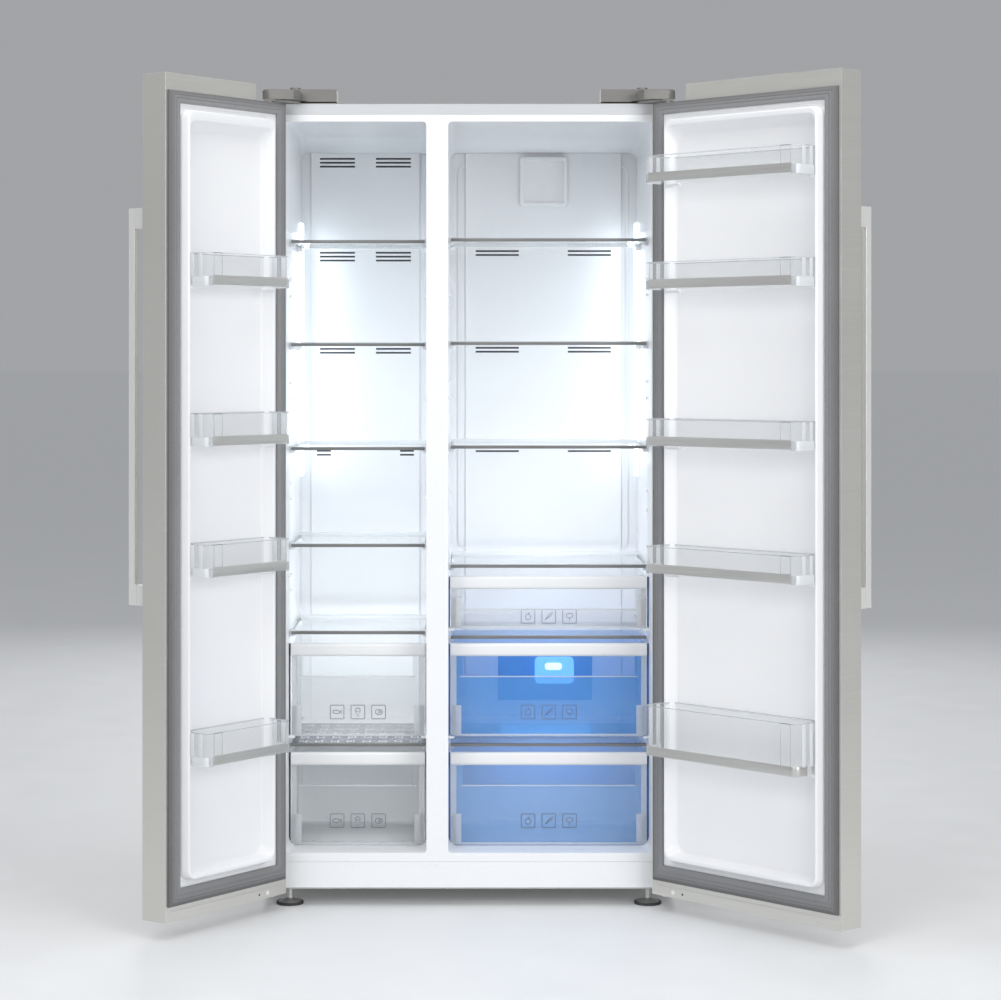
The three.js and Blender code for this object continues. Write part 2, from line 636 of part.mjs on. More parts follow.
// A cover over the upper bracket: a long block on the cabinet, a lower knuckle round the pin in front of it,
// a screw cap where they meet, and a skirt along the back that stands on the cabinet.
function hingeCover() {
  const base = cabinetTop + cover.lift;
  const top = base + cover.height;
  const x0 = -halfWidth + cover.inset;
  const front = pivotY - knuckle.reach;
  const shape = new THREE.Shape();
  shape.moveTo(x0, 1);
  shape.lineTo(x0, front + knuckle.radius);
  shape.absarc(x0 + knuckle.radius, front + knuckle.radius, knuckle.radius, Math.PI, 1.5 * Math.PI);
  shape.lineTo(x0 + knuckle.end - knuckle.chamfer, front);
  shape.lineTo(x0 + knuckle.end, front + knuckle.chamfer);
  shape.lineTo(x0 + knuckle.end, 1);
  const long = block([x0, x0 + cover.length], [0, cover.back], [base, top]);
  const skirtDepth = [cover.back - over, cover.back];
  const skirt = block([x0 + over, x0 + cover.length - over], skirtDepth, [cabinetTop + gap, base + 1]);
  const capPlace = [x0 + screwCap.away, screwCap.radius];
  const cap = cylinder(screwCap.radius, 'z', [top - 1, top + screwCap.height], capPlace);
  const roof = cabinetTop + gap + bracket.thickness + gap;
  const room = block([pivotX - bracketEnd - gap, pivotX + bracket.width + bracketEnd],
    [pivotY - bracketEnd - gap, bracket.length - bracketEnd + gap], [base - over, roof]);
  return surface(cut(join(long, prism(shape, 'z', [base, top - cover.step]), skirt, cap), room));
}

function hinges(side, sideName) {
  const group = new THREE.Group();
  group.scale.x = side;
  group.add(
    piece(`upper_hinge_${sideName}`, upperBracket(), 'zinc'),
    piece(`lower_hinge_${sideName}`, lowerBracket(), 'chrome'),
    piece(`hinge_cover_${sideName}`, hingeCover(), 'champagneSteel'),
  );
  return group;
}

// ---------------------------------------------------------------- doors
// A door is built closed and left-handed, about its own hinge axis: X from the hinge towards the free edge,
// Y from front to back. across() places a distance from the hinge side, inward() one from the inner plane.

const across = (distance) => distance - pivotInset;
const inward = (distance) => doorThickness - pivotToFront + distance;

// A rectangle inset from a door's edges, for the inner side's rings. Insets can grow by a margin.
const insetRect = (width, inset, margin = 0) => ({
  x: [across((inset.hinge ?? inset.side) + margin), across(width - (inset.free ?? inset.side) - margin)],
  z: [doorBottom + inset.bottom + margin, doorTop - inset.top - margin],
});

function doorSkin(width) {
  const notch = (inset) => {
    const floor = doorTop - notchHeight - inset;
    const wall = across(notchLength + inset);
    const low = doorBottom + inset;
    const high = doorTop - inset;
    const near = across(inset);
    const far = across(width - inset);
    return outline([[near, low], [far, low], [far, high], [wall, high], [wall, floor], [near, floor]]);
  };
  const front = inward(-doorThickness);
  const body = solid(prism(notch(0), 'y', [front, inward(0)]));
  const hollow = prism(notch(skinWall), 'y', [front + skinWall, inward(-skinWall)]);
  const mouthRect = insetRect(width, gasketInset, flangeLap + skinLap);
  const mouth = block(mouthRect.x, [inward(-skinWall - over), inward(over)], mouthRect.z);
  const bore = pinRadius + pinClearance;
  const floor = doorTop - notchHeight;
  const upperBore = cylinder(bore, 'z', [floor - over, floor + over], [0, 0]);
  const lowerBore = cylinder(bore, 'z', [doorBottom - over, doorBottom + over], [0, 0]);
  return surface(cut(body, hollow, mouth, upperBore, lowerBore));
}

const flangeRect = (width, clearance = 0) => insetRect(width, gasketInset, flangeLap - clearance);

function doorGasket(width) {
  const y = [inward(gap), inward(doorGap - gap)];
  const outer = insetRect(width, gasketInset);
  const edge = insetRect(width, gasketInset, gasketCrown.width);
  const opening = insetRect(width, {
    side: gasketInset.side + gasketWidth.side,
    top: gasketInset.top + gasketWidth.top,
    bottom: gasketInset.bottom + gasketWidth.bottom,
  });
  const seat = flangeRect(width, gap);
  const ring = solid(taperedBlock(outer, outer, [y[0], y[1] - gasketCrown.height]));
  const crown = taperedBlock(outer, edge, [y[1] - gasketCrown.height, y[1]]);
  return surface(cut(ring.add(solid(crown)),
    block(opening.x, [y[0] - over, y[1] + over], opening.z),
    block(seat.x, [y[0] - over, inward(gap + flangeThickness + gap)], seat.z)));
}

// Where a door liner's raised rim starts, and where its pocket begins, from the door's edges.
const rimStart = (sideName) => ({
  hinge: wallInsulation - doorSideInset + rimClearance[sideName],
  free: gasketInset.side + gasketWidth.side + rimSetback,
  top: doorTop - cavity.ceiling + rimClearance.top,
  bottom: floorLevel - doorBottom + rimClearance.bottom,
});
const pocketEdge = (sideName) => {
  const start = rimStart(sideName);
  return {
    hinge: start.hinge + rimDraft + rimWidth.side,
    free: start.free + rimDraft + rimWidth.side,
    top: start.top + rimDraft + topRimWidth[sideName],
    bottom: start.bottom + rimDraft + rimWidth.bottom,
  };
};
const binLevels = (sideName, shares) => {
  const pocket = pocketEdge(sideName);
  return shares.map((share) => between(doorBottom + pocket.bottom, doorTop - pocket.top, share));
};

function doorLiner(sideName, width, levels) {
  const plate = flangeRect(width);
  const y = [inward(gap), inward(gap + flangeThickness)];
  const rimTop = inward(rimHeight);
  const pocket = pocketEdge(sideName);
  const outer = insetRect(width, rimStart(sideName));
  const crown = insetRect(width, rimStart(sideName), rimDraft);
  const mouth = insetRect(width, pocket);
  const well = insetRect(width, {
    ...pocket,
    top: pocket.top + pocketSlope.top,
    bottom: pocket.bottom + pocketSlope.bottom,
  });
  const body = cut(solid(taperedBlock(outer, crown, [y[0], rimTop])),
    taperedBlock(well, mouth, [y[1], rimTop + 0.01]));
  const reach = [inward(ledge.from), Math.min(inward(ledge.to), rimTop)];
  const ledges = levels.flatMap((level) => {
    const z = [level - gap - ledge.thickness, level - gap];
    return [
      block([mouth.x[0] - 1, mouth.x[0] + ledge.length], reach, z),
      block([mouth.x[1] - ledge.length, mouth.x[1] + 1], reach, z),
    ];
  });
  const sheetPlate = solid(block(plate.x, y, plate.z));
  return surface(ledges.reduce((whole, item) => whole.add(solid(item)), body.add(sheetPlate)));
}

// A clear tray, open at the top. Its ends flare out over the liner's rim and its front corners are round.
function doorBin(sideName, width, level, height, binReach) {
  const pocket = pocketEdge(sideName);
  const flare = binFlare[sideName];
  const ends = [pocket.hinge + binEndClearance, pocket.free + binEndClearance];
  const step = rimHeight + binOverRim;
  const shape = (inset) => {
    const back = [across(ends[0] + inset), across(width - ends[1] - inset)];
    const front = [back[0] - flare.hinge, back[1] + flare.free];
    const y = [inward(binBack + inset), inward(step + inset), inward(binReach - inset)];
    const radius = binCorner - inset;
    const tray = new THREE.Shape();
    tray.moveTo(back[0], y[0]);
    tray.lineTo(back[1], y[0]);
    tray.lineTo(back[1], y[1]);
    tray.lineTo(front[1], y[1] + flare.free / 2);
    tray.absarc(front[1] - radius, y[2] - radius, radius, 0, 0.5 * Math.PI);
    tray.absarc(front[0] + radius, y[2] - radius, radius, 0.5 * Math.PI, Math.PI);
    tray.lineTo(front[0], y[1] + flare.hinge / 2);
    if (flare.hinge > 0) tray.lineTo(back[0], y[1]);
    return tray;
  };
  const body = solid(prism(shape(0), 'z', [level, level + height]));
  return surface(cut(body, prism(shape(binWall), 'z', [level + binFloor, level + height + over])));
}

function doorHandle(width) {
  const x = [across(width - handleInset - handleWidth), across(width - handleInset)];
  const face = inward(-doorThickness) - gap;
  const tip = inward(-doorThickness) - handleReach;
  const low = between(doorBottom, doorTop, handleBottomShare);
  const high = low + handleLength;
  const bracketShape = outline([
    [face, low], [face, low + handleFoot], [tip + handleBar, low + handleFoot],
    [tip + handleBar, high - handleFoot], [face, high - handleFoot], [face, high], [tip, high], [tip, low],
  ]);
  return prism(bracketShape, 'x', x);
}

function door(sideName, side, width, openAngle, shares, heights, binReach) {
  const levels = binLevels(sideName, shares);
  const group = new THREE.Group();
  group.position.set(-side * -pivotX, pivotY, 0);
  group.rotation.z = -side * openAngle * deg;
  const mirror = new THREE.Group();
  mirror.scale.x = side;
  group.add(mirror);
  mirror.add(
    piece(`${sideName}_door_skin`, doorSkin(width), 'champagneSteel'),
    piece(`${sideName}_door_liner`, doorLiner(sideName, width, levels), 'whitePlastic'),
    piece(`${sideName}_door_gasket`, doorGasket(width), 'gasketRubber'),
    piece(`${sideName}_door_handle`, doorHandle(width), 'silver'),
  );
  levels.forEach((level, index) => {
    const bin = doorBin(sideName, width, level, heights[index], binReach);
    mirror.add(piece(`${sideName}_door_bin_${index + 1}`, bin, 'clearPlastic'));
  });
  return group;
}

// ---------------------------------------------------------------- assembly

const refrigerator = new THREE.Group();
refrigerator.add(
  cabinetWrap(), rearPanel(), foamCore(),
  liner('freezer_liner', freezer, freezerShelves, [lowDivider], [midDrawerBottom]),
  liner('fridge_liner', fridge, fridgeShelves, [lowDivider, highDivider],
    [midDrawerBottom, smallDrawerBottom]),
  frontFrame(), topRail(), kickPlate(), basePan(),
  compressorUnit(), evaporator(), evaporatorFan(), freezerDuct(), fridgeDuct(),
  lightStrip('freezer_light', freezer.left, 1), lightStrip('fridge_light', fridge.right, -1),
  frontFoot('front_foot_left', -1), frontFoot('front_foot_right', 1),
  rearRoller('rear_roller_left', -1), rearRoller('rear_roller_right', 1),
  hinges(1, 'left'), hinges(-1, 'right'),
);

freezerShelves.forEach((top, index) => {
  refrigerator.add(glassShelf(`freezer_shelf_${index + 1}`, freezer, top));
});
fridgeShelves.forEach((top, index) => {
  refrigerator.add(glassShelf(`fridge_shelf_${index + 1}`, fridge, top));
});
refrigerator.add(
  divider('freezer_divider', freezer, lowDivider, 5),
  divider('fridge_divider_low', fridge, lowDivider, 0),
  divider('fridge_divider_high', fridge, highDivider, 0),
  drawer('freezer_drawer_low', freezer, lowDrawerBottom, lowDrawerHeight, lowDrawerDepth),
  drawer('freezer_drawer_high', freezer, midDrawerBottom, midDrawerHeight, drawerDepth),
  drawer('fridge_drawer_low', fridge, lowDrawerBottom, lowDrawerHeight, lowDrawerDepth),
  drawer('fridge_drawer_mid', fridge, midDrawerBottom, midDrawerHeight, drawerDepth),
  drawer('fridge_drawer_small', fridge, smallDrawerBottom, smallDrawerHeight, drawerDepth),
);

const freezerBinHeights = freezerBinShares.map(() => freezerBinHeight);
const fridgeBinHeights = fridgeBinShares.map(() => fridgeBinHeight);
fridgeBinHeights[0] = bottleBinHeight;
refrigerator.add(
  door('left', 1, leftDoorWidth, leftOpenAngle, freezerBinShares, freezerBinHeights, freezerBinReach),
  door('right', -1, rightDoorWidth, rightOpenAngle, fridgeBinShares, fridgeBinHeights, fridgeBinReach),
);

// The origin goes to the bottom centre of the bounding box.
refrigerator.updateMatrixWorld(true);
const bounds = new THREE.Box3().setFromObject(refrigerator, true);
const root = new THREE.Group();
const middle = bounds.getCenter(new THREE.Vector3());
refrigerator.position.set(-middle.x, -middle.y, -bounds.min.z);
root.add(refrigerator);

export default root;
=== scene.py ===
import json
import math

import bmesh
import bpy
import numpy as np
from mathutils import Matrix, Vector


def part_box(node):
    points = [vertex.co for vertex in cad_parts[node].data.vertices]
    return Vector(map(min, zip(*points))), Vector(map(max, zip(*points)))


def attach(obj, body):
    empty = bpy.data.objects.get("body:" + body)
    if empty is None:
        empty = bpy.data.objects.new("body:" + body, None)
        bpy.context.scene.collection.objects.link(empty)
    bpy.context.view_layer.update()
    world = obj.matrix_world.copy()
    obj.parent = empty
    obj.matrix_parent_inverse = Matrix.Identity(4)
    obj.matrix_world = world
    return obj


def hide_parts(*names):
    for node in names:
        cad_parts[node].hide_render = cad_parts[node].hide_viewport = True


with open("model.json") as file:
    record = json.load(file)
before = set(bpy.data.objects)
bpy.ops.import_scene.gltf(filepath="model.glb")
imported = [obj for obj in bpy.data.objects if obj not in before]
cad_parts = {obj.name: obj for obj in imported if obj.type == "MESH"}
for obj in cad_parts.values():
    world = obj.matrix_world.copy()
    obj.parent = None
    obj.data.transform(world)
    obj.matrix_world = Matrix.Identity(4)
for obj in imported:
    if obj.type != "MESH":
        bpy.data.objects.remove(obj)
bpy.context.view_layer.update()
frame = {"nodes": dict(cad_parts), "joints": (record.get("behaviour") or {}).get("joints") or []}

scene = bpy.context.scene
nodes = frame["nodes"]
mm = 0.001
print("frame loaded,", len(nodes), "nodes")

# All lengths below are millimetres. Cabinet pieces count from the cabinet's middle, its front face and the floor.
# Door pieces count (across, inward, up): from the door's hinge edge, its inner plane and the floor.

wrapLow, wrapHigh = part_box("cabinet_wrap")
shift = np.array([(wrapLow.x + wrapHigh.x) / 2, wrapLow.y, 0.0])
hingeInset = {"across": 20, "inward": 31}  # hinge axis from the door's edge and from its inner plane


def nodeBox(name):  # a node's two corners in the cabinet's millimetres
    low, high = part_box(name)
    return (np.array(low) - shift) / mm, (np.array(high) - shift) / mm


def cabinetPlace(points):
    return np.asarray(points, float) * mm + shift


def doorAxes(side):  # pivot, direction towards the free edge, direction inwards, as the door stands open
    joint = next(j for j in frame["joints"] if j["name"] == side + "_door_hinge")
    angle = math.radians(-joint["range_deg"][0])
    sign = 1 if side == "left" else -1
    along = np.array([sign * math.cos(angle), -math.sin(angle), 0.0])
    inward = np.array([sign * math.sin(angle), math.cos(angle), 0.0])
    return np.array([joint["pos_m"][0], joint["pos_m"][1], 0.0]), along, inward


def doorPlace(side):  # returns the placing of (across, inward, up) points on that door
    pivot, along, inward = doorAxes(side)

    def place(points):
        points = np.asarray(points, float)
        across = (points[:, :1] - hingeInset["across"]) * mm
        depth = (points[:, 1:2] + hingeInset["inward"]) * mm
        return pivot + along * across + inward * depth + np.array([0, 0, mm]) * points[:, 2:]

    return place


def doorBox(side, name):  # a node's lowest and highest (across, inward, up) on its door
    pivot, along, inward = doorAxes(side)
    mesh = nodes[name].data
    points = np.empty(len(mesh.vertices) * 3)
    mesh.vertices.foreach_get("co", points)
    points = points.reshape(-1, 3) - pivot
    local = np.stack([points @ along / mm + hingeInset["across"],
                      points @ inward / mm - hingeInset["inward"], points[:, 2] / mm], -1)
    return local.min(0), local.max(0)


# Each shape below gives (points, quads, end faces).

def loftLoops(loops, caps=True, wrap=False):
    # each closed loop of points is joined to the next by a band of quads; the first and last may be filled
    loops = np.asarray(loops, float)
    count, size = loops.shape[:2]
    rows, steps = np.meshgrid(np.arange(count if wrap else count - 1), np.arange(size), indexing="ij")
    following = (steps + 1) % size
    above = (rows + 1) % count
    quads = np.stack([rows * size + steps, rows * size + following,
                      above * size + following, above * size + steps], -1).reshape(-1, 4)
    ends = [np.arange(size)[::-1], np.arange(size) + (count - 1) * size] if caps and not wrap else []
    return loops.reshape(-1, 3), quads, ends


def roundedLoop(low, high, radius, steps=5):
    # a rectangle whose corners are quarter circles, one after another
    corner = np.repeat(np.arange(4), steps + 1)
    turn = np.tile(np.linspace(0, math.pi / 2, steps + 1), 4) + (corner + 2) * math.pi / 2
    right = np.isin(corner, (1, 2))
    a = np.where(right, high[0] - radius, low[0] + radius) + radius * np.cos(turn)
    b = np.where(corner >= 2, high[1] - radius, low[1] + radius) + radius * np.sin(turn)
    return np.stack([a, b], -1)


def roundedPath(corners, radii, steps=6):
    # a closed outline with an arc of its own radius at each corner; gives points and outward directions
    corners = np.asarray(corners, float)
    radii = np.asarray(radii, float)[:, None]
    before = corners - np.roll(corners, 1, 0)
    after = np.roll(corners, -1, 0) - corners
    before /= np.linalg.norm(before, axis=1, keepdims=True)
    after /= np.linalg.norm(after, axis=1, keepdims=True)
    left = np.stack([-before[:, 1], before[:, 0]], -1)
    cross = before[:, 0] * after[:, 1] - before[:, 1] * after[:, 0]
    turn = np.arctan2(cross, (before * after).sum(1))[:, None]
    start = corners - before * radii * np.tan(np.abs(turn) / 2)
    centre = start + left * radii * np.sign(turn)
    angle = turn * np.linspace(0, 1, steps + 1)[None, :]
    cos, sin = np.cos(angle), np.sin(angle)
    out = np.stack([-left[:, :1] * cos + left[:, 1:] * sin, -left[:, :1] * sin - left[:, 1:] * cos], -1)
    points = centre[:, None] + out * (radii * np.sign(turn))[..., None]
    return points.reshape(-1, 2), out.reshape(-1, 2)


def softBlock(low, high, radius=1.0, steps=3):
    # a block with round edges: its plan shrinks by a quarter circle towards its top and its bottom
    low, high = np.minimum(low, high).astype(float), np.maximum(low, high).astype(float)
    radius = min(radius, float((high - low).min()) / 2.02)
    turn = np.linspace(0, math.pi / 2, steps + 1)
    inset = radius * (1 - np.sin(turn))
    rise = radius * (1 - np.cos(turn))
    levels = np.concatenate([low[2] + rise, (high[2] - rise)[::-1]])
    loops = []
    for level, shrink in zip(levels, np.concatenate([inset, inset[::-1]])):
        flat = roundedLoop(low[:2] + shrink, high[:2] - shrink, max(radius - shrink, radius * 0.05), steps)
        loops.append(np.column_stack([flat, np.full(len(flat), level)]))
    return loftLoops(loops)


def sweepStrip(path, out, section):
    # a closed section, as (distance outwards, height) pairs, is carried along an open path in plan
    section = np.asarray(section, float)
    plan = path[:, None] + out[:, None] * section[None, :, :1]
    height = np.broadcast_to(section[None, :, 1:], plan.shape[:2] + (1,))
    return loftLoops(np.concatenate([plan, height], -1))


def latheRise(rise, centre, sides=32):
    # a profile of (radius, height) pairs turned about an upright axis
    rise = np.asarray(rise, float)
    turn = np.linspace(0, 2 * math.pi, sides, endpoint=False)
    ring = np.stack([np.cos(turn), np.sin(turn)], -1)
    loops = [np.column_stack([ring * r + centre[:2], np.full(sides, h + centre[2])]) for r, h in rise]
    return loftLoops(loops)


def laid(part, order):  # swaps a part's axes, so that an upright shape lies along another axis
    points, quads, ends = part
    return points[:, order], quads, ends


smoothAngle = 38  # degrees between two faces, past which their edge stays sharp
mergeGap = 1e-7  # metres, for new pieces
copyMergeGap = 2e-5  # metres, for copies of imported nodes, whose triangles are loose


def ownMaterial(thing, finish):
    thing.data.materials.clear()
    thing.data.materials.append(finish)


def finishPiece(piece, finish, body, stands=()):
    ownMaterial(piece, finish)
    piece.data.shade_smooth()
    piece.data.set_sharp_from_angle(angle=math.radians(smoothAngle))
    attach(piece, body)
    if stands:
        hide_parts(*stands)
    return piece


def makePiece(name, parts, place, finish, body, stands=(), values=None):
    points = place(np.concatenate([part[0] for part in parts]))
    starts = np.cumsum([0] + [len(part[0]) for part in parts])
    faces = []
    for (own, quads, ends), start in zip(parts, starts):
        faces += (quads + start).tolist()
        faces += [(np.asarray(end) + start).tolist() for end in ends]
    mesh = bpy.data.meshes.new(name)
    mesh.from_pydata(points.tolist(), [], faces)
    if values is not None:
        mesh.attributes.new("across", "FLOAT", "POINT").data.foreach_set("value", values)
    work = bmesh.new()
    work.from_mesh(mesh)
    bmesh.ops.remove_doubles(work, verts=work.verts, dist=mergeGap)
    bmesh.ops.recalc_face_normals(work, faces=work.faces)
    work.to_mesh(mesh)
    work.free()
    piece = bpy.data.objects.new(name, mesh)
    scene.collection.objects.link(piece)
    return finishPiece(piece, finish, body, stands)


def edgedCopy(name, node, finish, body, slotName, edge, segments=2):
    # the node's own shape, merged, with its sharp edges rounded off
    mesh = nodes[node].data.copy()
    work = bmesh.new()
    work.from_mesh(mesh)
    bmesh.ops.remove_doubles(work, verts=work.verts, dist=copyMergeGap)
    bmesh.ops.dissolve_limit(work, angle_limit=math.radians(1), verts=work.verts, edges=work.edges)
    work.to_mesh(mesh)
    work.free()
    piece = bpy.data.objects.new(name, mesh)
    scene.collection.objects.link(piece)
    finishPiece(piece, finish, body, [node])
    bevel = piece.modifiers.new("roundEdges", "BEVEL")
    bevel.width = edge * mm
    bevel.segments = segments
    bevel.limit_method = "ANGLE"
    bevel.angle_limit = math.radians(35)
    bevel.harden_normals = True
    return piece


def addNode(tree, kind, **values):  # a node with its sockets set, named with "_" for each space
    node = tree.nodes.new(kind)
    for name, value in values.items():
        node.inputs[name.replace("_", " ")].default_value = value
    return node


def makeFinish(name, light, dark, roughness, grain=60, broad=3.0, bump=0.0, depth=0.1, metallic=0.0,
               alpha=1.0, glow=None, glowStrength=0.0, coat=0.0):
    # Tone is 0.65 of fine grain and 0.35 of a broad drift, both noise in object coordinates, read on a ramp from
    # dark to light. The fine grain alone drives the roughness, between its two values, and the bump.
    material = bpy.data.materials.new(name)
    material.use_nodes = True
    tree = material.node_tree
    link = tree.links.new
    shader = tree.nodes["Principled BSDF"]
    place = tree.nodes.new("ShaderNodeTexCoord")
    stretch = addNode(tree, "ShaderNodeMapping", Scale=grain if isinstance(grain, tuple) else (grain,) * 3)
    fine = addNode(tree, "ShaderNodeTexNoise", Scale=1.0, Detail=5.0, Roughness=0.6)
    wide = addNode(tree, "ShaderNodeTexNoise", Scale=broad, Detail=2.0)
    blend = addNode(tree, "ShaderNodeMix", Factor=0.35)
    ramp = tree.nodes.new("ShaderNodeValToRGB")
    for element, position, colour in zip(ramp.color_ramp.elements, (0.32, 0.68), (dark, light)):
        element.position = position
        element.color = (*colour, 1)
    gloss = addNode(tree, "ShaderNodeMapRange", From_Min=0.3, From_Max=0.7,
                    To_Min=roughness[0], To_Max=roughness[1])
    link(place.outputs["Object"], stretch.inputs["Vector"])
    link(stretch.outputs["Vector"], fine.inputs["Vector"])
    link(place.outputs["Object"], wide.inputs["Vector"])
    link(fine.outputs["Fac"], blend.inputs["A"])
    link(wide.outputs["Fac"], blend.inputs["B"])
    link(blend.outputs["Result"], ramp.inputs["Fac"])
    link(ramp.outputs["Color"], shader.inputs["Base Color"])
    link(fine.outputs["Fac"], gloss.inputs["Value"])
    link(gloss.outputs["Result"], shader.inputs["Roughness"])
    if bump:
        relief = addNode(tree, "ShaderNodeBump", Strength=bump, Distance=depth * mm)
        link(fine.outputs["Fac"], relief.inputs["Height"])
        link(relief.outputs["Normal"], shader.inputs["Normal"])
    shader.inputs["Metallic"].default_value = metallic
    shader.inputs["Alpha"].default_value = alpha
    shader.inputs["Coat Weight"].default_value = coat
    if glow:
        shader.inputs["Emission Color"].default_value = (*glow, 1)
        shader.inputs["Emission Strength"].default_value = glowStrength
    return material


brushed = (7, 7, 900)  # long across, fine up and down
doorSteel = makeFinish("champagneDoorSteel", (0.73, 0.72, 0.68), (0.65, 0.64, 0.60), (0.32, 0.46),
                       brushed, bump=0.35, depth=0.05, metallic=0.72)
handleMetal = makeFinish("satinHandleMetal", (0.92, 0.915, 0.89), (0.84, 0.835, 0.81), (0.26, 0.36),
                         (900, 900, 6), bump=0.2, depth=0.04, metallic=0.5)
sidePaint = makeFinish("greySidePaint", (0.36, 0.355, 0.345), (0.32, 0.315, 0.305), (0.42, 0.55),
                       420, bump=0.3, depth=0.08, metallic=0.2)
whitePaint = makeFinish("whiteFramePaint", (0.86, 0.87, 0.885), (0.83, 0.84, 0.86), (0.26, 0.36),
                        260, bump=0.12, depth=0.05, coat=0.2)
railPaint = makeFinish("lightRailPaint", (0.62, 0.63, 0.65), (0.56, 0.57, 0.59), (0.3, 0.4),
                       (9, 9, 800), bump=0.2, depth=0.04, metallic=0.25)
galvanised = makeFinish("galvanisedSheet", (0.50, 0.51, 0.53), (0.34, 0.35, 0.37), (0.35, 0.55),
                        38, bump=0.15, depth=0.05, metallic=0.75)
zincPlate = makeFinish("zincPlating", (0.58, 0.58, 0.57), (0.48, 0.48, 0.46), (0.3, 0.45),
                       90, bump=0.1, depth=0.04, metallic=0.8)
foamFill = makeFinish("insulatingFoam", (0.80, 0.70, 0.42), (0.68, 0.57, 0.32), (0.85, 0.97),
                      180, bump=0.8, depth=0.6)
linerWhite = makeFinish("glossyLinerWhite", (0.87, 0.88, 0.90), (0.86, 0.872, 0.894), (0.27, 0.30),
                        520, bump=0.02, depth=0.02, coat=0.1)
doorLinerWhite = makeFinish("doorLinerWhite", (0.845, 0.85, 0.865), (0.835, 0.84, 0.855), (0.28, 0.31),
                            520, bump=0.02, depth=0.02, coat=0.1)
coverPlastic = makeFinish("coverPlastic", (0.22, 0.215, 0.205), (0.18, 0.175, 0.165), (0.36, 0.48),
                          500, bump=0.25, depth=0.06, metallic=0.45)
clearPlastic = makeFinish("clearTrayPlastic", (0.90, 0.93, 0.95), (0.82, 0.87, 0.90), (0.06, 0.14),
                          70, bump=0.05, depth=0.03, alpha=0.09)
rimPlastic = makeFinish("clearRimPlastic", (0.66, 0.69, 0.71), (0.56, 0.59, 0.62), (0.08, 0.16),
                        70, alpha=0.42)
frostPlastic = makeFinish("frostedWhitePlastic", (0.88, 0.90, 0.92), (0.82, 0.85, 0.88), (0.25, 0.4),
                          220, bump=0.1, depth=0.05, alpha=0.72)
veilPlastic = makeFinish("thinWhitePlastic", (0.90, 0.92, 0.94), (0.84, 0.87, 0.90), (0.2, 0.3),
                         220, bump=0.1, depth=0.05, alpha=0.4)
shelfTrimMetal = makeFinish("greyShelfTrim", (0.23, 0.23, 0.225), (0.18, 0.18, 0.175), (0.3, 0.42),
                            (7, 7, 900), bump=0.2, depth=0.04, metallic=0.4)
whitePlastic = makeFinish("whiteHandlePlastic", (0.82, 0.825, 0.83), (0.79, 0.80, 0.81), (0.28, 0.38),
                          300, bump=0.15, depth=0.04)
trimMetal = makeFinish("brushedTrim", (0.58, 0.58, 0.56), (0.46, 0.46, 0.445), (0.28, 0.42),
                       brushed, bump=0.2, depth=0.04, metallic=0.6)
shelfGlass = makeFinish("shelfGlass", (0.84, 0.90, 0.91), (0.78, 0.85, 0.87), (0.03, 0.07),
                        20, alpha=0.2)
chromeMetal = makeFinish("chromePlate", (0.78, 0.78, 0.79), (0.66, 0.66, 0.67), (0.1, 0.2),
                         120, metallic=0.95)
blackPaint = makeFinish("blackCompressorPaint", (0.035, 0.036, 0.038), (0.018, 0.019, 0.02), (0.35, 0.5),
                        240, bump=0.3, depth=0.08)
coilMetal = makeFinish("finnedAluminium", (0.66, 0.67, 0.68), (0.50, 0.51, 0.52), (0.35, 0.5),
                       (700, 6, 6), bump=0.5, depth=0.2, metallic=0.8)
blackPlastic = makeFinish("blackMouldedPlastic", (0.045, 0.046, 0.05), (0.025, 0.026, 0.028), (0.45, 0.6),
                          400, bump=0.3, depth=0.06)
slotDark = makeFinish("shadedSlot", (0.10, 0.105, 0.11), (0.06, 0.063, 0.068), (0.6, 0.75), 200)
lampLens = makeFinish("litLampLens", (0.95, 0.98, 1.0), (0.88, 0.94, 1.0), (0.2, 0.3), 90,
                      glow=(0.82, 0.93, 1.0), glowStrength=1.6)
blueLens = makeFinish("blueLampLens", (0.35, 0.62, 0.98), (0.22, 0.5, 0.95), (0.2, 0.3), 60,
                      glow=(0.16, 0.5, 1.0), glowStrength=1.2)
# blue tint and faint glow paint the blue lamp's light onto clear drawers, stronger on the middle drawer than on
# the low one: painted light
blueLampLitDrawer = makeFinish("blueLitDrawer", (0.13, 0.38, 0.78), (0.09, 0.32, 0.72), (0.08, 0.16), 12,
                        alpha=0.28, glow=(0.10, 0.38, 0.9), glowStrength=0.05)
paleBlueLampLitDrawer = makeFinish("paleBlueLampLitDrawer", (0.34, 0.54, 0.84), (0.28, 0.48, 0.8), (0.08, 0.16), 12,
                            alpha=0.27, glow=(0.2, 0.5, 0.95), glowStrength=0.04)


# place across the strip, and the tone's level there: painted shade, darkest on the outer flank and in the two
# grooves
gasketShadeBands = ((0.0, 0.5), (0.2, 0.6), (0.30, 0.9), (0.36, 0.7), (0.46, 0.95), (0.62, 0.85), (0.72, 1), (1, 1))


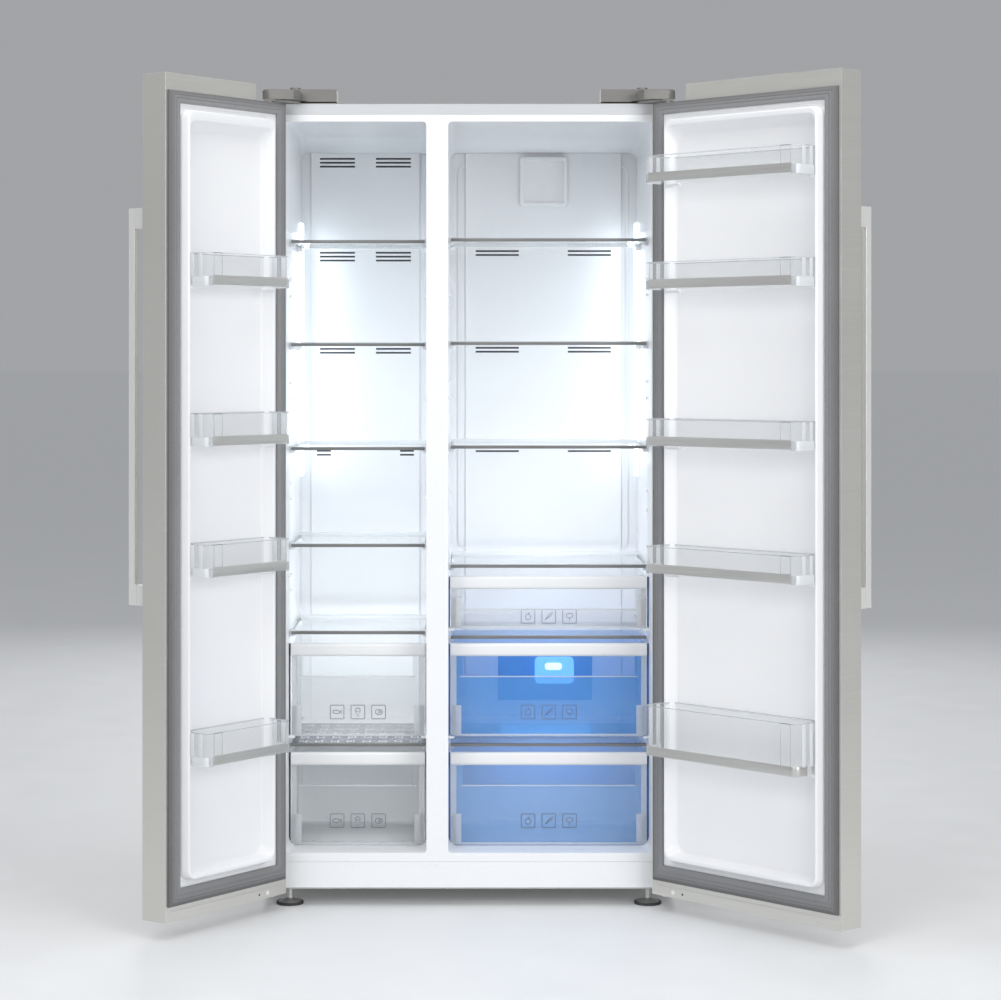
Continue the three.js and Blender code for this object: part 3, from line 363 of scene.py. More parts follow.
def makeGasketFinish():
    # rubber whose tone is multiplied by a band's level, read from each point's place across the strip: the bands
    # are painted shade on the outer flank and in the grooves
    material = makeFinish("gasketRubber", (0.27, 0.27, 0.275), (0.21, 0.21, 0.215), (0.5, 0.65),
                          300, bump=0.2, depth=0.05)
    tree = material.node_tree
    shader = tree.nodes["Principled BSDF"]
    tone = next(link.from_socket for link in tree.links if link.to_socket == shader.inputs["Base Color"])
    place = tree.nodes.new("ShaderNodeAttribute")
    place.attribute_name = "across"
    shadeBands = tree.nodes.new("ShaderNodeValToRGB")
    for element, (position, level) in zip(shadeBands.color_ramp.elements, (gasketShadeBands[0], gasketShadeBands[-1])):
        element.position = position
        element.color = (level, level, level, 1)
    for position, level in gasketShadeBands[1:-1]:
        shadeBands.color_ramp.elements.new(position).color = (level, level, level, 1)
    tint = tree.nodes.new("ShaderNodeMix")
    tint.data_type = "RGBA"
    tint.blend_type = "MULTIPLY"
    tint.inputs["Factor"].default_value = 1.0
    colours = [socket for socket in tint.inputs if socket.type == "RGBA"]
    result = next(socket for socket in tint.outputs if socket.type == "RGBA")
    tree.links.new(place.outputs["Fac"], shadeBands.inputs["Fac"])
    tree.links.new(tone, colours[0])
    tree.links.new(shadeBands.outputs["Color"], colours[1])
    tree.links.new(result, shader.inputs["Base Color"])
    return material


gasketRubber = makeGasketFinish()
print("finishes made,", len(bpy.data.materials))

view = {"back": 5.764, "height": 1.2124, "lens": 92.95, "shiftX": 0.0316, "shiftY": -0.1377}
camera = bpy.data.objects.new("camera", bpy.data.cameras.new("camera"))
scene.collection.objects.link(camera)
camera.location = (shift[0], shift[1] - view["back"], view["height"])
camera.rotation_euler = (math.pi / 2, 0, 0)
camera.data.sensor_width = 36
camera.data.lens = view["lens"]
camera.data.shift_x = view["shiftX"]
camera.data.shift_y = view["shiftY"]
scene.camera = camera
scene.view_settings.view_transform = "Standard"

studio = {
    "floorSize": 600, "floor": (0.74, 0.75, 0.76), "floorGlow": 0.09,
    "sky": (0.80, 0.82, 0.85), "skyStrength": 0.45,
    "aim": 0.95,
    # each softbox: place from the front's middle, side length, power
    "boxes": {
        "keyBox": ((-2.2, -4.6, 2.9), 2.6, 77),
        "fillBox": ((2.6, -4.2, 2.0), 2.6, 92),
        "topBox": ((0, -0.6, 4.4), 3.2, 92),
        "backBox": ((0, 5.0, 3.0), 3.0, 60),
    },
}


def makeStudio():
    half = studio["floorSize"] / 2
    mesh = bpy.data.meshes.new("studioFloor")
    corners = [(-half, -half, 0), (half, -half, 0), (half, half, 0), (-half, half, 0)]
    mesh.from_pydata(corners, [], [(0, 1, 2, 3)])
    floor = bpy.data.objects.new("studioFloor", mesh)
    scene.collection.objects.link(floor)
    light = studio["floor"]
    dark = tuple(value * 0.96 for value in light)
    ownMaterial(floor, makeFinish("paleFloor", light, dark, (0.45, 0.6), 6, glow=light,
                                  glowStrength=studio["floorGlow"]))
    world = bpy.data.worlds.new("softStudio")
    world.use_nodes = True
    sky = world.node_tree.nodes["Background"]
    sky.inputs["Color"].default_value = (*studio["sky"], 1)
    sky.inputs["Strength"].default_value = studio["skyStrength"]
    scene.world = world


def makeSoftbox(name, place, target, size, power, colour=(1, 1, 1)):
    lamp = bpy.data.lights.new(name, "AREA")
    lamp.shape = "RECTANGLE"
    lamp.size, lamp.size_y = size
    lamp.energy = power
    lamp.color = colour
    box = bpy.data.objects.new(name, lamp)
    scene.collection.objects.link(box)
    box.location = Vector(place)
    box.rotation_euler = (Vector(target) - Vector(place)).to_track_quat("-Z", "Y").to_euler()
    box.visible_camera = False
    return box


makeStudio()
for name, (place, side, power) in studio["boxes"].items():
    makeSoftbox(name, shift + place, (shift[0], shift[1], studio["aim"]), (side, side), power)
print("camera, floor and light made")

bodyOf = {"left": "left_door", "right": "right_door"}
skinBox = {side: doorBox(side, side + "_door_skin") for side in bodyOf}
doorWidth = {side: high[0] for side, (low, high) in skinBox.items()}
doorSpan = {side: (low[2], high[2]) for side, (low, high) in skinBox.items()}


def insetLoop(side, inset, grow, inward, radius, steps=5):
    # a rounded rectangle inset from the door's four edges, at one distance inwards
    low, high = doorSpan[side]
    start = (inset["hinge"] + grow["hinge"], low + inset["bottom"] + grow["bottom"])
    end = (doorWidth[side] - inset["free"] - grow["free"], high - inset["top"] - grow["top"])
    flat = roundedLoop(start, end, radius, steps)
    return np.column_stack([flat[:, 0], np.full(len(flat), inward), flat[:, 1]])


def evenly(amount):
    return {"hinge": amount, "free": amount, "top": amount, "bottom": amount}


doorLiner = {
    "flange": {"hinge": 14, "free": 14, "top": 44.5, "bottom": 41},
    "rim": {
        "left": {"hinge": 65.5, "free": 41, "top": 75, "bottom": 83.5},
        "right": {"hinge": 56.5, "free": 41, "top": 75, "bottom": 83.5},
    },
    "pocket": {
        "left": {"hinge": 74.5, "free": 50, "top": 100, "bottom": 96.5},
        "right": {"hinge": 65.5, "free": 50, "top": 92, "bottom": 96.5},
    },
    "slope": {"hinge": 13, "free": 3, "top": 20, "bottom": 8},  # from the pocket's edge to its floor
    "height": 28,
    "face": 2.3,
    "underside": 0.3,
    # steps up the rim's outer side: outwards or inwards of its start, height, corner radius
    "outerSteps": [(-8.5, 2.3, 31), (-7.8, 0.9, 30), (-6.4, 0.9, 29), (-5.8, 2.3, 28), (-2.2, 2.9, 25),
                   (-0.4, 4.8, 23), (0.2, 7.5, 22), (2.0, 22.5, 20), (2.9, 25.6, 19), (4.4, 27.5, 18)],
    "innerSteps": [(-3.2, 27.7, 17), (-1.2, 26.6, 17), (0, 24.2, 17)],
    "wallSteps": [(0.25, 18.5, 19), (0.6, 10.5, 22), (0.85, 5.2, 24), (1.0, 3.0, 25), (1.12, 2.3, 26)],
}


def makeDoorLiner(side):
    # loops of rounded rectangles run over the flange, up the rim, over its crest and down into the pocket
    rim = doorLiner["rim"][side]
    pocket = doorLiner["pocket"][side]
    slope = doorLiner["slope"]
    loops = [insetLoop(side, doorLiner["flange"], evenly(0), doorLiner["underside"], 2),
             insetLoop(side, doorLiner["flange"], evenly(0), doorLiner["face"], 2)]
    loops += [insetLoop(side, rim, evenly(grow), h, r) for grow, h, r in doorLiner["outerSteps"]]
    loops += [insetLoop(side, pocket, evenly(grow), h, r) for grow, h, r in doorLiner["innerSteps"]]
    for share, h, r in doorLiner["wallSteps"]:
        loops.append(insetLoop(side, pocket, {key: slope[key] * share for key in slope}, h, r))
    makePiece(side + "DoorLinerShell", [loftLoops(loops)], doorPlace(side), doorLinerWhite, bodyOf[side],
              [side + "_door_liner"])


doorSeal = {
    "outer": {"hinge": 6, "free": 6, "top": 36.5, "bottom": 33},
    "width": {"hinge": 32, "free": 32, "top": 26, "bottom": 36},
    # section of the strip: share of its width, distance inwards
    "section": [(0, 0.3), (0, 4.2), (0.05, 5.4), (0.2, 8.6), (0.26, 9.3), (0.31, 9.4), (0.33, 8.7), (0.36, 8.7),
                (0.39, 9.5), (0.5, 9.7), (0.6, 9.6), (0.62, 9.1), (0.65, 9.1), (0.68, 9.6), (0.8, 9.7),
                (0.92, 9.4), (0.97, 8.4), (1.0, 6.5), (1.0, 2.7), (0.26, 2.7), (0.26, 0.3)],
}


def makeDoorSeal(side):
    # the section is carried round the door with mitred corners
    section = doorSeal["section"]
    width = doorSeal["width"]
    loops = [insetLoop(side, doorSeal["outer"], {edge: width[edge] * share for edge in width}, h, 0.4, 1)
             for share, h in section]
    values = np.repeat([share for share, h in section], len(loops[0]))
    makePiece(side + "DoorSeal", [loftLoops(loops, wrap=True)], doorPlace(side), gasketRubber, bodyOf[side],
              [side + "_door_gasket"], values)


skinDetail = {
    "edge": 0.5, "sunk": 0.5,
    "line": {"up": 21, "tall": 1.6, "proud": 0.9, "inset": 16},
    "spots": {"Plug": {"across": 62, "up": 11, "radius": 5, "proud": 1.2, "finish": whitePlastic},
              # the hole is a black disc proud of the skin: painted shade inside a small hole
              "HoleShade": {"across": 90, "up": 11, "radius": 2.6, "proud": 0.4, "finish": blackPlastic}},
}


def makeDoorSkin(side):
    edgedCopy(side + "DoorSkinSteel", side + "_door_skin", doorSteel, bodyOf[side], "door_steel",
              skinDetail["edge"])
    line, sunk = skinDetail["line"], skinDetail["sunk"]
    low = doorSpan[side][0]
    fold = softBlock((line["inset"], -sunk, low + line["up"]),
                     (doorWidth[side] - line["inset"], line["proud"], low + line["up"] + line["tall"]), 0.5)
    makePiece(side + "DoorFoldLine", [fold], doorPlace(side), doorSteel, bodyOf[side])
    for name, spot in skinDetail["spots"].items():
        radius, proud = spot["radius"], spot["proud"]
        rise = [(radius, -sunk), (radius, proud * 0.6), (radius * 0.8, proud)]
        part = laid(latheRise(rise, (spot["across"], low + spot["up"], 0), 20), [0, 2, 1])
        makePiece(f"{side}Door{name}", [part], doorPlace(side), spot["finish"], bodyOf[side])


handle = {"edge": 0.9, "screw": {"radius": 3.2, "inward": 12, "up": 22, "proud": 0.3, "sunk": 0.6}}


def makeDoorHandle(side):
    node = side + "_door_handle"
    edgedCopy(side + "DoorHandleBar", node, handleMetal, bodyOf[side], "handle_metal", handle["edge"])
    low, high = doorBox(side, node)
    screw = handle["screw"]
    radius, proud = screw["radius"], screw["proud"]
    rise = np.array([(radius, -screw["sunk"]), (radius, proud - 0.05), (radius * 0.7, proud)])
    parts = []
    for up in (low[2] + screw["up"], high[2] - screw["up"]):
        for edge, out in ((low[0], -1), (high[0], 1)):
            ring = latheRise(rise * [1, out], (high[1] - screw["inward"], up, edge), 16)
            parts.append(laid(ring, [2, 0, 1]))
    makePiece(side + "HandleSetScrews", parts, doorPlace(side), blackPlastic, bodyOf[side])


for side in bodyOf:
    makeDoorLiner(side)
    makeDoorSeal(side)
    makeDoorSkin(side)
    makeDoorHandle(side)
print("doors made")

doorBin = {
    "wall": 2.4, "floor": 3.0, "corner": 15, "flareStart": 30,
    "flare": {"left": {"hinge": 0, "free": 5}, "right": {"hinge": 9, "free": 7}},
    "trim": {"low": 2.6, "high": 22.4, "proud": 0.7, "start": 15, "back": 34},
    "endBand": {"low": 0.4, "high": 20, "proud": 0.35, "back": 34},
    "lip": {"wide": 3.0, "tall": 1.9, "proud": 0.15},
    "pillar": {"width": 11, "proud": 0.9, "sunk": 1.2, "low": 20, "places": (38, 14)},
    "line": {"places": (17, 43), "half": 0.7, "low": 22, "proud": 0.45},  # fine upright lines on the front wall
    "tab": {"from": 22, "length": 40, "tall": 7, "inward": (44, 54)},
    "ledge": {"from": 10, "to": 27.5, "length": 9, "tall": 6},
}


def binOutline(side, low, high):
    # plan of a tray: narrow between the rim's walls, flared over the rim, round at both front corners
    flare = doorBin["flare"][side]
    start = doorBin["flareStart"]
    corners = [(low[0] + flare["hinge"], low[1]), (high[0] - flare["free"], low[1])]
    radii = [3, 3]
    if flare["free"]:
        corners += [(high[0] - flare["free"], start), (high[0], start + flare["free"] / 2)]
        radii += [1.5, 2.4]
    corners += [(high[0], high[1]), (low[0], high[1])]
    radii += [doorBin["corner"], doorBin["corner"]]
    if flare["hinge"]:
        corners += [(low[0], start + flare["hinge"] / 2), (low[0] + flare["hinge"], start)]
        radii += [2.4, 1.5]
    return roundedPath(corners, radii)


def cornerArc(low, high, free, run):
    # the front run's end, its corner arc and the start of the end wall, as an open path with directions
    radius = doorBin["corner"]
    turn = np.linspace(0, math.pi / 2, 9)
    out = np.stack([np.sin(turn), np.cos(turn)], -1)
    centre = np.array([high[0] - radius, high[1] - radius])
    arc = centre + out * radius
    path = np.vstack([[centre[0] - run[0], high[1]], arc, [high[0], run[1]]])
    out = np.vstack([[0, 1], out, [1, 0]])
    if not free:
        path = path * [-1, 1] + [low[0] + high[0], 0]
        out = out * [-1, 1]
    return path, out


def stripSection(proud, low, high, under=0.5):
    # a flat strip's section, sunk under the wall, with its two outer edges cut back
    edge = min(0.7, (proud + under) / 2)
    return [(-under, low), (proud - edge / 2, low), (proud, low + edge), (proud, high - edge),
            (proud - edge / 2, high), (-under, high)]


def makeBin(side, number, wrapped):  # a wrapped bin's trim runs round its free corner
    node = f"{side}_door_bin_{number}"
    low, high = doorBox(side, node)
    base, top = low[2], high[2]
    wall, floor = doorBin["wall"], doorBin["floor"]

    def make(name, parts, finish, slotName="clear_plastic", stands=()):
        makePiece(f"{side}Bin{number}{name}", parts, doorPlace(side), finish, bodyOf[side], stands)

    # the outline rises from the rounded foot over the rim and down inside to the floor: (inset, height)
    path, out = binOutline(side, low, high)
    steps = [(2.4, 0), (0.7, 0.5), (0, 2.4), (0, top - base - 0.8), (0.7, top - base),
             (wall - 0.6, top - base), (wall, top - base - 0.8), (wall, floor + 2), (wall + 2, floor)]
    loops = [np.column_stack([path - out * inset, np.full(len(path), base + rise)]) for inset, rise in steps]
    make("Tray", [loftLoops(loops)], clearPlastic, stands=[node])

    lip = doorBin["lip"]
    extra = (lip["wide"] - wall) / 2
    under, over = top - lip["tall"], top + lip["proud"]
    ring = [(-extra, under), (-extra, over), (wall + extra, over), (wall + extra, under)]
    loops = [np.column_stack([path - out * inset, np.full(len(path), level)]) for inset, level in ring]
    make("Lip", [loftLoops(loops, wrap=True)], rimPlastic)

    trim = doorBin["trim"]
    front = np.array([[low[0] + trim["start"], high[1]], [high[0] - trim["start"], high[1]]])
    facing = np.array([[0.0, 1.0], [0.0, 1.0]])
    section = stripSection(trim["proud"], base + trim["low"], base + trim["high"])
    parts = [sweepStrip(front, facing, section)]
    if wrapped:
        parts.append(sweepStrip(*cornerArc(low, high, True, (2, high[1] - trim["back"])), section))
    make("Trim", parts, trimMetal)

    band, pillar, line = doorBin["endBand"], doorBin["pillar"], doorBin["line"]
    clips = [softBlock((x - line["half"], high[1] - 1, base + line["low"]),
                       (x + line["half"], high[1] + line["proud"], top - 0.5), 0.3, 1)
             for at in line["places"] for x in (low[0] + at, high[0] - at)]
    seams = [softBlock((high[0] - line["places"][1], high[1] - 1, top - 1.2),
                       (high[0] - line["places"][0], high[1] + 0.5, top + 0.3), 0.3, 1)]
    ends = []
    for free in (False, True):
        if not (wrapped and free):
            section = stripSection(band["proud"], base + band["low"], base + band["high"])
            corner, facing = cornerArc(low, high, free, (0.5, band["back"]))
            ends.append(sweepStrip(corner[5:], facing[5:], section))
            clips.append(sweepStrip(corner[:5], facing[:5], section))
            seam = stripSection(band["proud"] + 0.25, base + band["low"] + 1, base + band["high"] - 1)
            middle = corner[4:6] * [[0.75], [0.25]] + corner[5:3:-1] * [[0.25], [0.75]]
            seams.append(sweepStrip(middle, facing[4:6], seam))
        edge, inside = (high[0], -1) if free else (low[0], 1)
        for back in pillar["places"]:
            start = high[1] - doorBin["corner"] - back
            if start > low[1] + 8:
                near = (edge - inside * pillar["proud"], start, base + pillar["low"])
                far = (edge + inside * pillar["sunk"], start + pillar["width"], top - 1)
                ends.append(softBlock(near, far, 0.5, 2))
    make("Ends", ends, frostPlastic)
    make("Clips", clips, rimPlastic)
    make("Seams", seams, seamGrey)

    tab, ledge = doorBin["tab"], doorBin["ledge"]
    left = low[0] + doorBin["flare"][side]["hinge"]
    right = high[0] - doorBin["flare"][side]["free"]
    parts = [softBlock((left + tab["from"], tab["inward"][0], base - tab["tall"]),
                       (left + tab["from"] + tab["length"], tab["inward"][1], base + 0.2), 3)]
    parts += [softBlock((a, ledge["from"], base - 0.3 - ledge["tall"]), (b, ledge["to"], base - 0.3), 1.5)
              for a, b in ((left - 3, left + ledge["length"] - 1), (right - ledge["length"] + 1, right + 3))]
    make("Ledges", parts, doorLinerWhite, "liner_plastic")


seamGrey = makeFinish("darkSeam", (0.24, 0.245, 0.25), (0.17, 0.175, 0.18), (0.4, 0.5), 150)
for number in range(1, 5):
    makeBin("left", number, False)
for number in range(1, 6):
    makeBin("right", number, number == 1)
print("door bins made")

roomForm = {"wall": 2, "lip": 7, "mouthRadius": 8, "cornerRadius": 20, "backRadius": 16,
            "humpFrom": 400, "humpTo": 445, "humpRise": 182, "slopeFrom": 190, "slopeTo": 60, "slopeDrop": 28}
rooms = {}
for name in ("freezer", "fridge"):
    low, high = nodeBox(name + "_liner")
    wall = roomForm["wall"]
    rooms[name] = {"left": low[0] + wall, "right": high[0] - wall, "floor": low[2] + wall,
                   "ceiling": high[2] - wall, "back": high[1] - wall}


def roomSection(room, depth, grow, radius):
    # the compartment's outline at one depth: a rounded rectangle whose floor rises over the machine space and
    # whose ceiling comes down, both in straight lines between two depths
    form = roomForm
    rise = np.interp(depth, [form["humpFrom"], form["humpTo"]], [0, form["humpRise"]])
    drop = np.interp(depth, [room["back"] - form["slopeFrom"], room["back"] - form["slopeTo"]],
                     [0, form["slopeDrop"]])
    flat = roundedLoop((room["left"] - grow, room["floor"] + rise - grow),
                       (room["right"] + grow, room["ceiling"] - drop + grow), radius, 6)
    return np.column_stack([flat[:, 0], np.full(len(flat), depth), flat[:, 1]])


def roomLoops(room, outside):
    form = roomForm
    grow = form["wall"] if outside else 0
    turn = np.linspace(0, math.pi / 2, 6)
    loops = []
    if not outside:
        for angle in turn:  # the rounded lip over the frame's edge
            out = form["lip"] * (1 - math.sin(angle))
            loops.append(roomSection(room, -0.25 + form["lip"] * (1 - math.cos(angle)), out,
                                     form["mouthRadius"] + out))
    depths = [22, 60, room["back"] - form["slopeFrom"], form["humpFrom"], 411, 422, 434, form["humpTo"],
              room["back"] - form["slopeTo"], room["back"] - form["backRadius"] - 2]
    for depth in sorted(set(depths)):
        radius = np.interp(depth, [8, 60], [form["mouthRadius"], form["cornerRadius"]])
        loops.append(roomSection(room, depth, grow, radius + grow))
    for angle in turn:
        shrink = form["backRadius"] * (1 - math.cos(angle))
        depth = room["back"] - form["backRadius"] * (1 - math.sin(angle)) + grow
        loops.append(roomSection(room, depth, grow - shrink, form["cornerRadius"]))
    return loops


def wallPair(room, reach, near, far, low, high, edge=2.0):
    return [softBlock((room["left"] - 1, near, low), (room["left"] + reach, far, high), edge),
            softBlock((room["right"] - reach, near, low), (room["right"] + 1, far, high), edge)]


lugs = {
    "reach": 11.5, "tall": 10, "length": 22, "inset": 30, "underShelf": 10.3, "gap": 0.3,
    "rail": {"reach": 13.5, "tall": 6, "near": 8, "far": 4},
    "spare": {"shares": (0.42, 0.58), "reach": 5, "near": 128, "far": 150, "tall": 7},
}


def makeRoom(name, shelves, dividers, drawers):
    # the inner skin's loops run from mouth to back, the outer skin's return to the mouth
    room = rooms[name]
    inside = roomLoops(room, False)
    outside = roomLoops(room, True)
    points, quads, ends = loftLoops(inside + outside[::-1], caps=False)
    size = len(inside[0])
    last = len(inside) - 1
    total = len(inside) + len(outside)
    steps = np.arange(size)
    quads = quads[(quads[:, 0] // size) != last]  # the two back walls are closed on their own
    ends = [steps + last * size, steps[::-1] + (last + 1) * size]
    mouth = np.stack([steps, (steps + 1) % size], -1)
    joinQuads = np.hstack([mouth + (total - 1) * size, mouth[:, ::-1]])
    parts = [(points, np.vstack([quads, joinQuads]), ends)]
    fittings = []
    for node in shelves + dividers:
        low, high = nodeBox(node)
        under = high[2] - lugs["underShelf"] if node in shelves else low[2] - lugs["gap"]
        for near in (low[1] + lugs["inset"], high[1] - lugs["inset"] - lugs["length"]):
            fittings += wallPair(room, lugs["reach"], near, near + lugs["length"], under - lugs["tall"], under)
    rail = lugs["rail"]
    for node in drawers:
        low, high = nodeBox(node)
        under = low[2] - lugs["gap"]
        fittings += wallPair(room, rail["reach"], low[1] + rail["near"], high[1] - rail["far"],
                             under - rail["tall"], under)
    spare = lugs["spare"]
    levels = [nodeBox(node)[1][2] for node in shelves]
    for below, above in zip(levels, levels[1:]):
        for share in spare["shares"]:
            level = below + (above - below) * share
            fittings += wallPair(room, spare["reach"], spare["near"], spare["far"],
                                 level, level + spare["tall"])
    makePiece(name + "LinerShell", parts, cabinetPlace, linerWhite, "cabinet",
              [name + "_liner"])
    makePiece(name + "WallLugs", fittings, cabinetPlace, linerWhite, "cabinet")


freezerShelves = [f"freezer_shelf_{number}" for number in range(1, 6)]
fridgeShelves = [f"fridge_shelf_{number}" for number in range(1, 5)]
makeRoom("freezer", freezerShelves, ["freezer_divider"], ["freezer_drawer_high"])
makeRoom("fridge", fridgeShelves, ["fridge_divider_low", "fridge_divider_high"],
         ["fridge_drawer_mid", "fridge_drawer_small"])
print("compartments made")

shelf = {"glass": 4, "lip": 6, "trimDeep": 14, "trimLow": 6.2, "trimHigh": 0.8, "clip": (11, 26), "edge": 2.4}


def makeShelf(node):
    low, high = nodeBox(node)
    top = high[2] - shelf["lip"]
    pane = [softBlock((low[0], low[1] + 0.6, top - shelf["glass"]), (high[0], high[1] - 0.6, top), 1.2)]
    makePiece(node + "Pane", pane, cabinetPlace, shelfGlass, "cabinet", [node])
    front = [softBlock((low[0] + 1, low[1] - 0.4, top - shelf["trimLow"]),
                       (high[0] - 1, low[1] + shelf["trimDeep"], top + shelf["trimHigh"]), 1.0)]
    makePiece(node + "Trim", front, cabinetPlace, shelfTrimMetal, "cabinet")
    back = [softBlock((low[0], high[1] - shelf["trimDeep"], top - shelf["glass"] - 0.4),
                      (high[0], high[1] + 0.2, high[2]), 1.4)]
    edge = shelf["edge"]
    sides = [softBlock((a, low[1] + 12, top - shelf["glass"] - 0.2), (b, high[1] - 10, top + 0.3), 0.5, 2)
             for a, b in ((low[0] - 0.2, low[0] + edge), (high[0] - edge, high[0] + 0.2))]
    makePiece(node + "GroundEdges", sides, cabinetPlace, edgePlastic, "cabinet")
    wide, deep = shelf["clip"]
    back += [softBlock((a, low[1] + 3, top - 8), (b, low[1] + deep, top + 3), 1.6)
             for a, b in ((low[0] - 2.5, low[0] + wide), (high[0] - wide, high[0] + 2.5))]
    makePiece(node + "Clips", back, cabinetPlace, frostPlastic, "cabinet")


dots = {"columns": 8, "rows": 5, "radius": 2.6, "spread": 7, "side": 26, "front": 40}


def makeDivider(node, finish, dotted):
    edgedCopy(node + "Plate", node, finish, "cabinet", "clear_plastic", 0.5)
    low, high = nodeBox(node)
    front = [softBlock((low[0] + 1, low[1] - 0.6, low[2] - 0.6),
                       (high[0] - 1, low[1] + 12, high[2] + 0.9), 1.0)]
    makePiece(node + "Trim", front, cabinetPlace, shelfTrimMetal, "cabinet")
    if not dotted:
        return
    parts = []
    rise = [(dots["radius"], high[2] - 0.3), (dots["radius"], high[2] + 0.12)]
    for x in np.linspace(low[0] + dots["side"], high[0] - dots["side"], dots["columns"]):
        for y in np.linspace(low[1] + dots["front"], high[1] - dots["front"], dots["rows"]):
            for dx, dy in ((0, 0), (-1, -1), (1, -1), (1, 1), (-1, 1)):
                parts.append(latheRise(rise, (x + dx * dots["spread"], y + dy * dots["spread"], 0), 8))
    makePiece(node + "Dots", parts, cabinetPlace, paleDots, "cabinet")


edgePlastic = makeFinish("groundGlassEdge", (0.36, 0.42, 0.44), (0.28, 0.34, 0.36), (0.25, 0.4), 50, alpha=0.7)
for node in freezerShelves + fridgeShelves:
    makeShelf(node)
smokePlastic = makeFinish("smokedDividerPlastic", (0.20, 0.21, 0.23), (0.15, 0.16, 0.18), (0.15, 0.3),
                          40, alpha=0.85)
paleDots = makeFinish("paleDividerDots", (0.80, 0.82, 0.84), (0.70, 0.72, 0.75), (0.3, 0.4), 90)
makeDivider("freezer_divider", smokePlastic, True)
makeDivider("fridge_divider_low", clearPlastic, False)
makeDivider("fridge_divider_high", clearPlastic, False)
print("shelves made")

drawer = {
    "wall": 6,
    "bar": {"tall": 29, "deep": 16, "radius": 7, "proud": 0.35, "round": ((0, 1.6), (0.5, 0.5), (1.6, 0))},
    "column": {"edge": 0.4, "wide": 13, "foot": 24, "footTall": 70, "proud": 0.9},
    "sill": {"side": 8, "tall": 5},
    "ribs": {"pitch": 45, "wide": 3.2, "low": 2, "high": 5.2, "side": 50, "behind": 8, "length": 16},
    "slot": {"side": 21, "below": 45, "tall": 3},
    "mark": {"size": 31, "apart": 47, "line": 1.5, "share": 0.3, "proud": 0.7},
}


def strokeLine(points, width, depth):
    # a thin flat line along points in the front plane, as a narrow four sided tube
    points = np.asarray(points, float)
    step = np.gradient(points, axis=0)
    step /= np.linalg.norm(step, axis=1, keepdims=True)
    across = np.stack([-step[:, 1], step[:, 0]], -1) * width / 2
    near, far = depth
    corners = [(points - across, near), (points + across, near), (points + across, far), (points - across, far)]
    loops = [np.column_stack([flat[:, 0], np.full(len(flat), y), flat[:, 1]]) for flat, y in corners]
    return loftLoops(np.stack(loops, 1))


def oval(centre, radii, start=0, end=360, count=15):
    turn = np.radians(np.linspace(start, end, count))
    return np.stack([centre[0] + radii[0] * np.cos(turn), centre[1] + radii[1] * np.sin(turn)], -1)


# generic food signs inside a unit square
foodSigns = {
    "fish": [oval((-0.06, 0), (0.26, 0.13)), [(0.18, 0.0), (0.34, 0.13), (0.34, -0.13), (0.18, 0.0)]],
    "ice": [oval((0, 0.12), (0.17, 0.17), -20, 200),
            [(-0.16, 0.06), (0.0, -0.34), (0.16, 0.06), (-0.16, 0.06)]],
    "meat": [oval((0.02, 0), (0.27, 0.19)), oval((0.08, 0.02), (0.09, 0.07))],
    "fruit": [oval((0, -0.04), (0.2, 0.21)), [(0.0, 0.17), (0.05, 0.26), (0.14, 0.3)]],
    "root": [[(-0.26, -0.24), (0.1, 0.22), (0.22, 0.1), (-0.26, -0.24)], [(0.16, 0.16), (0.3, 0.3)]],
    "leaf": [oval((0, 0.06), (0.24, 0.17)), [(0.0, -0.1), (0.0, -0.3)]],
}


def foodMarks(centre, front, signs):
    mark = drawer["mark"]
    size = mark["size"]
    depth = (front - mark["proud"], front + 0.3)
    parts = []
    for place, sign in zip((-1, 0, 1), signs):
        middle = np.array([centre[0] + place * mark["apart"], centre[1]])
        square = roundedLoop((-0.5, -0.5), (0.5, 0.5), 0.06, 2)
        for line in [np.vstack([square, square[:1]])] + foodSigns[sign]:
            parts.append(strokeLine(middle + np.asarray(line) * size, mark["line"], depth))
    return parts


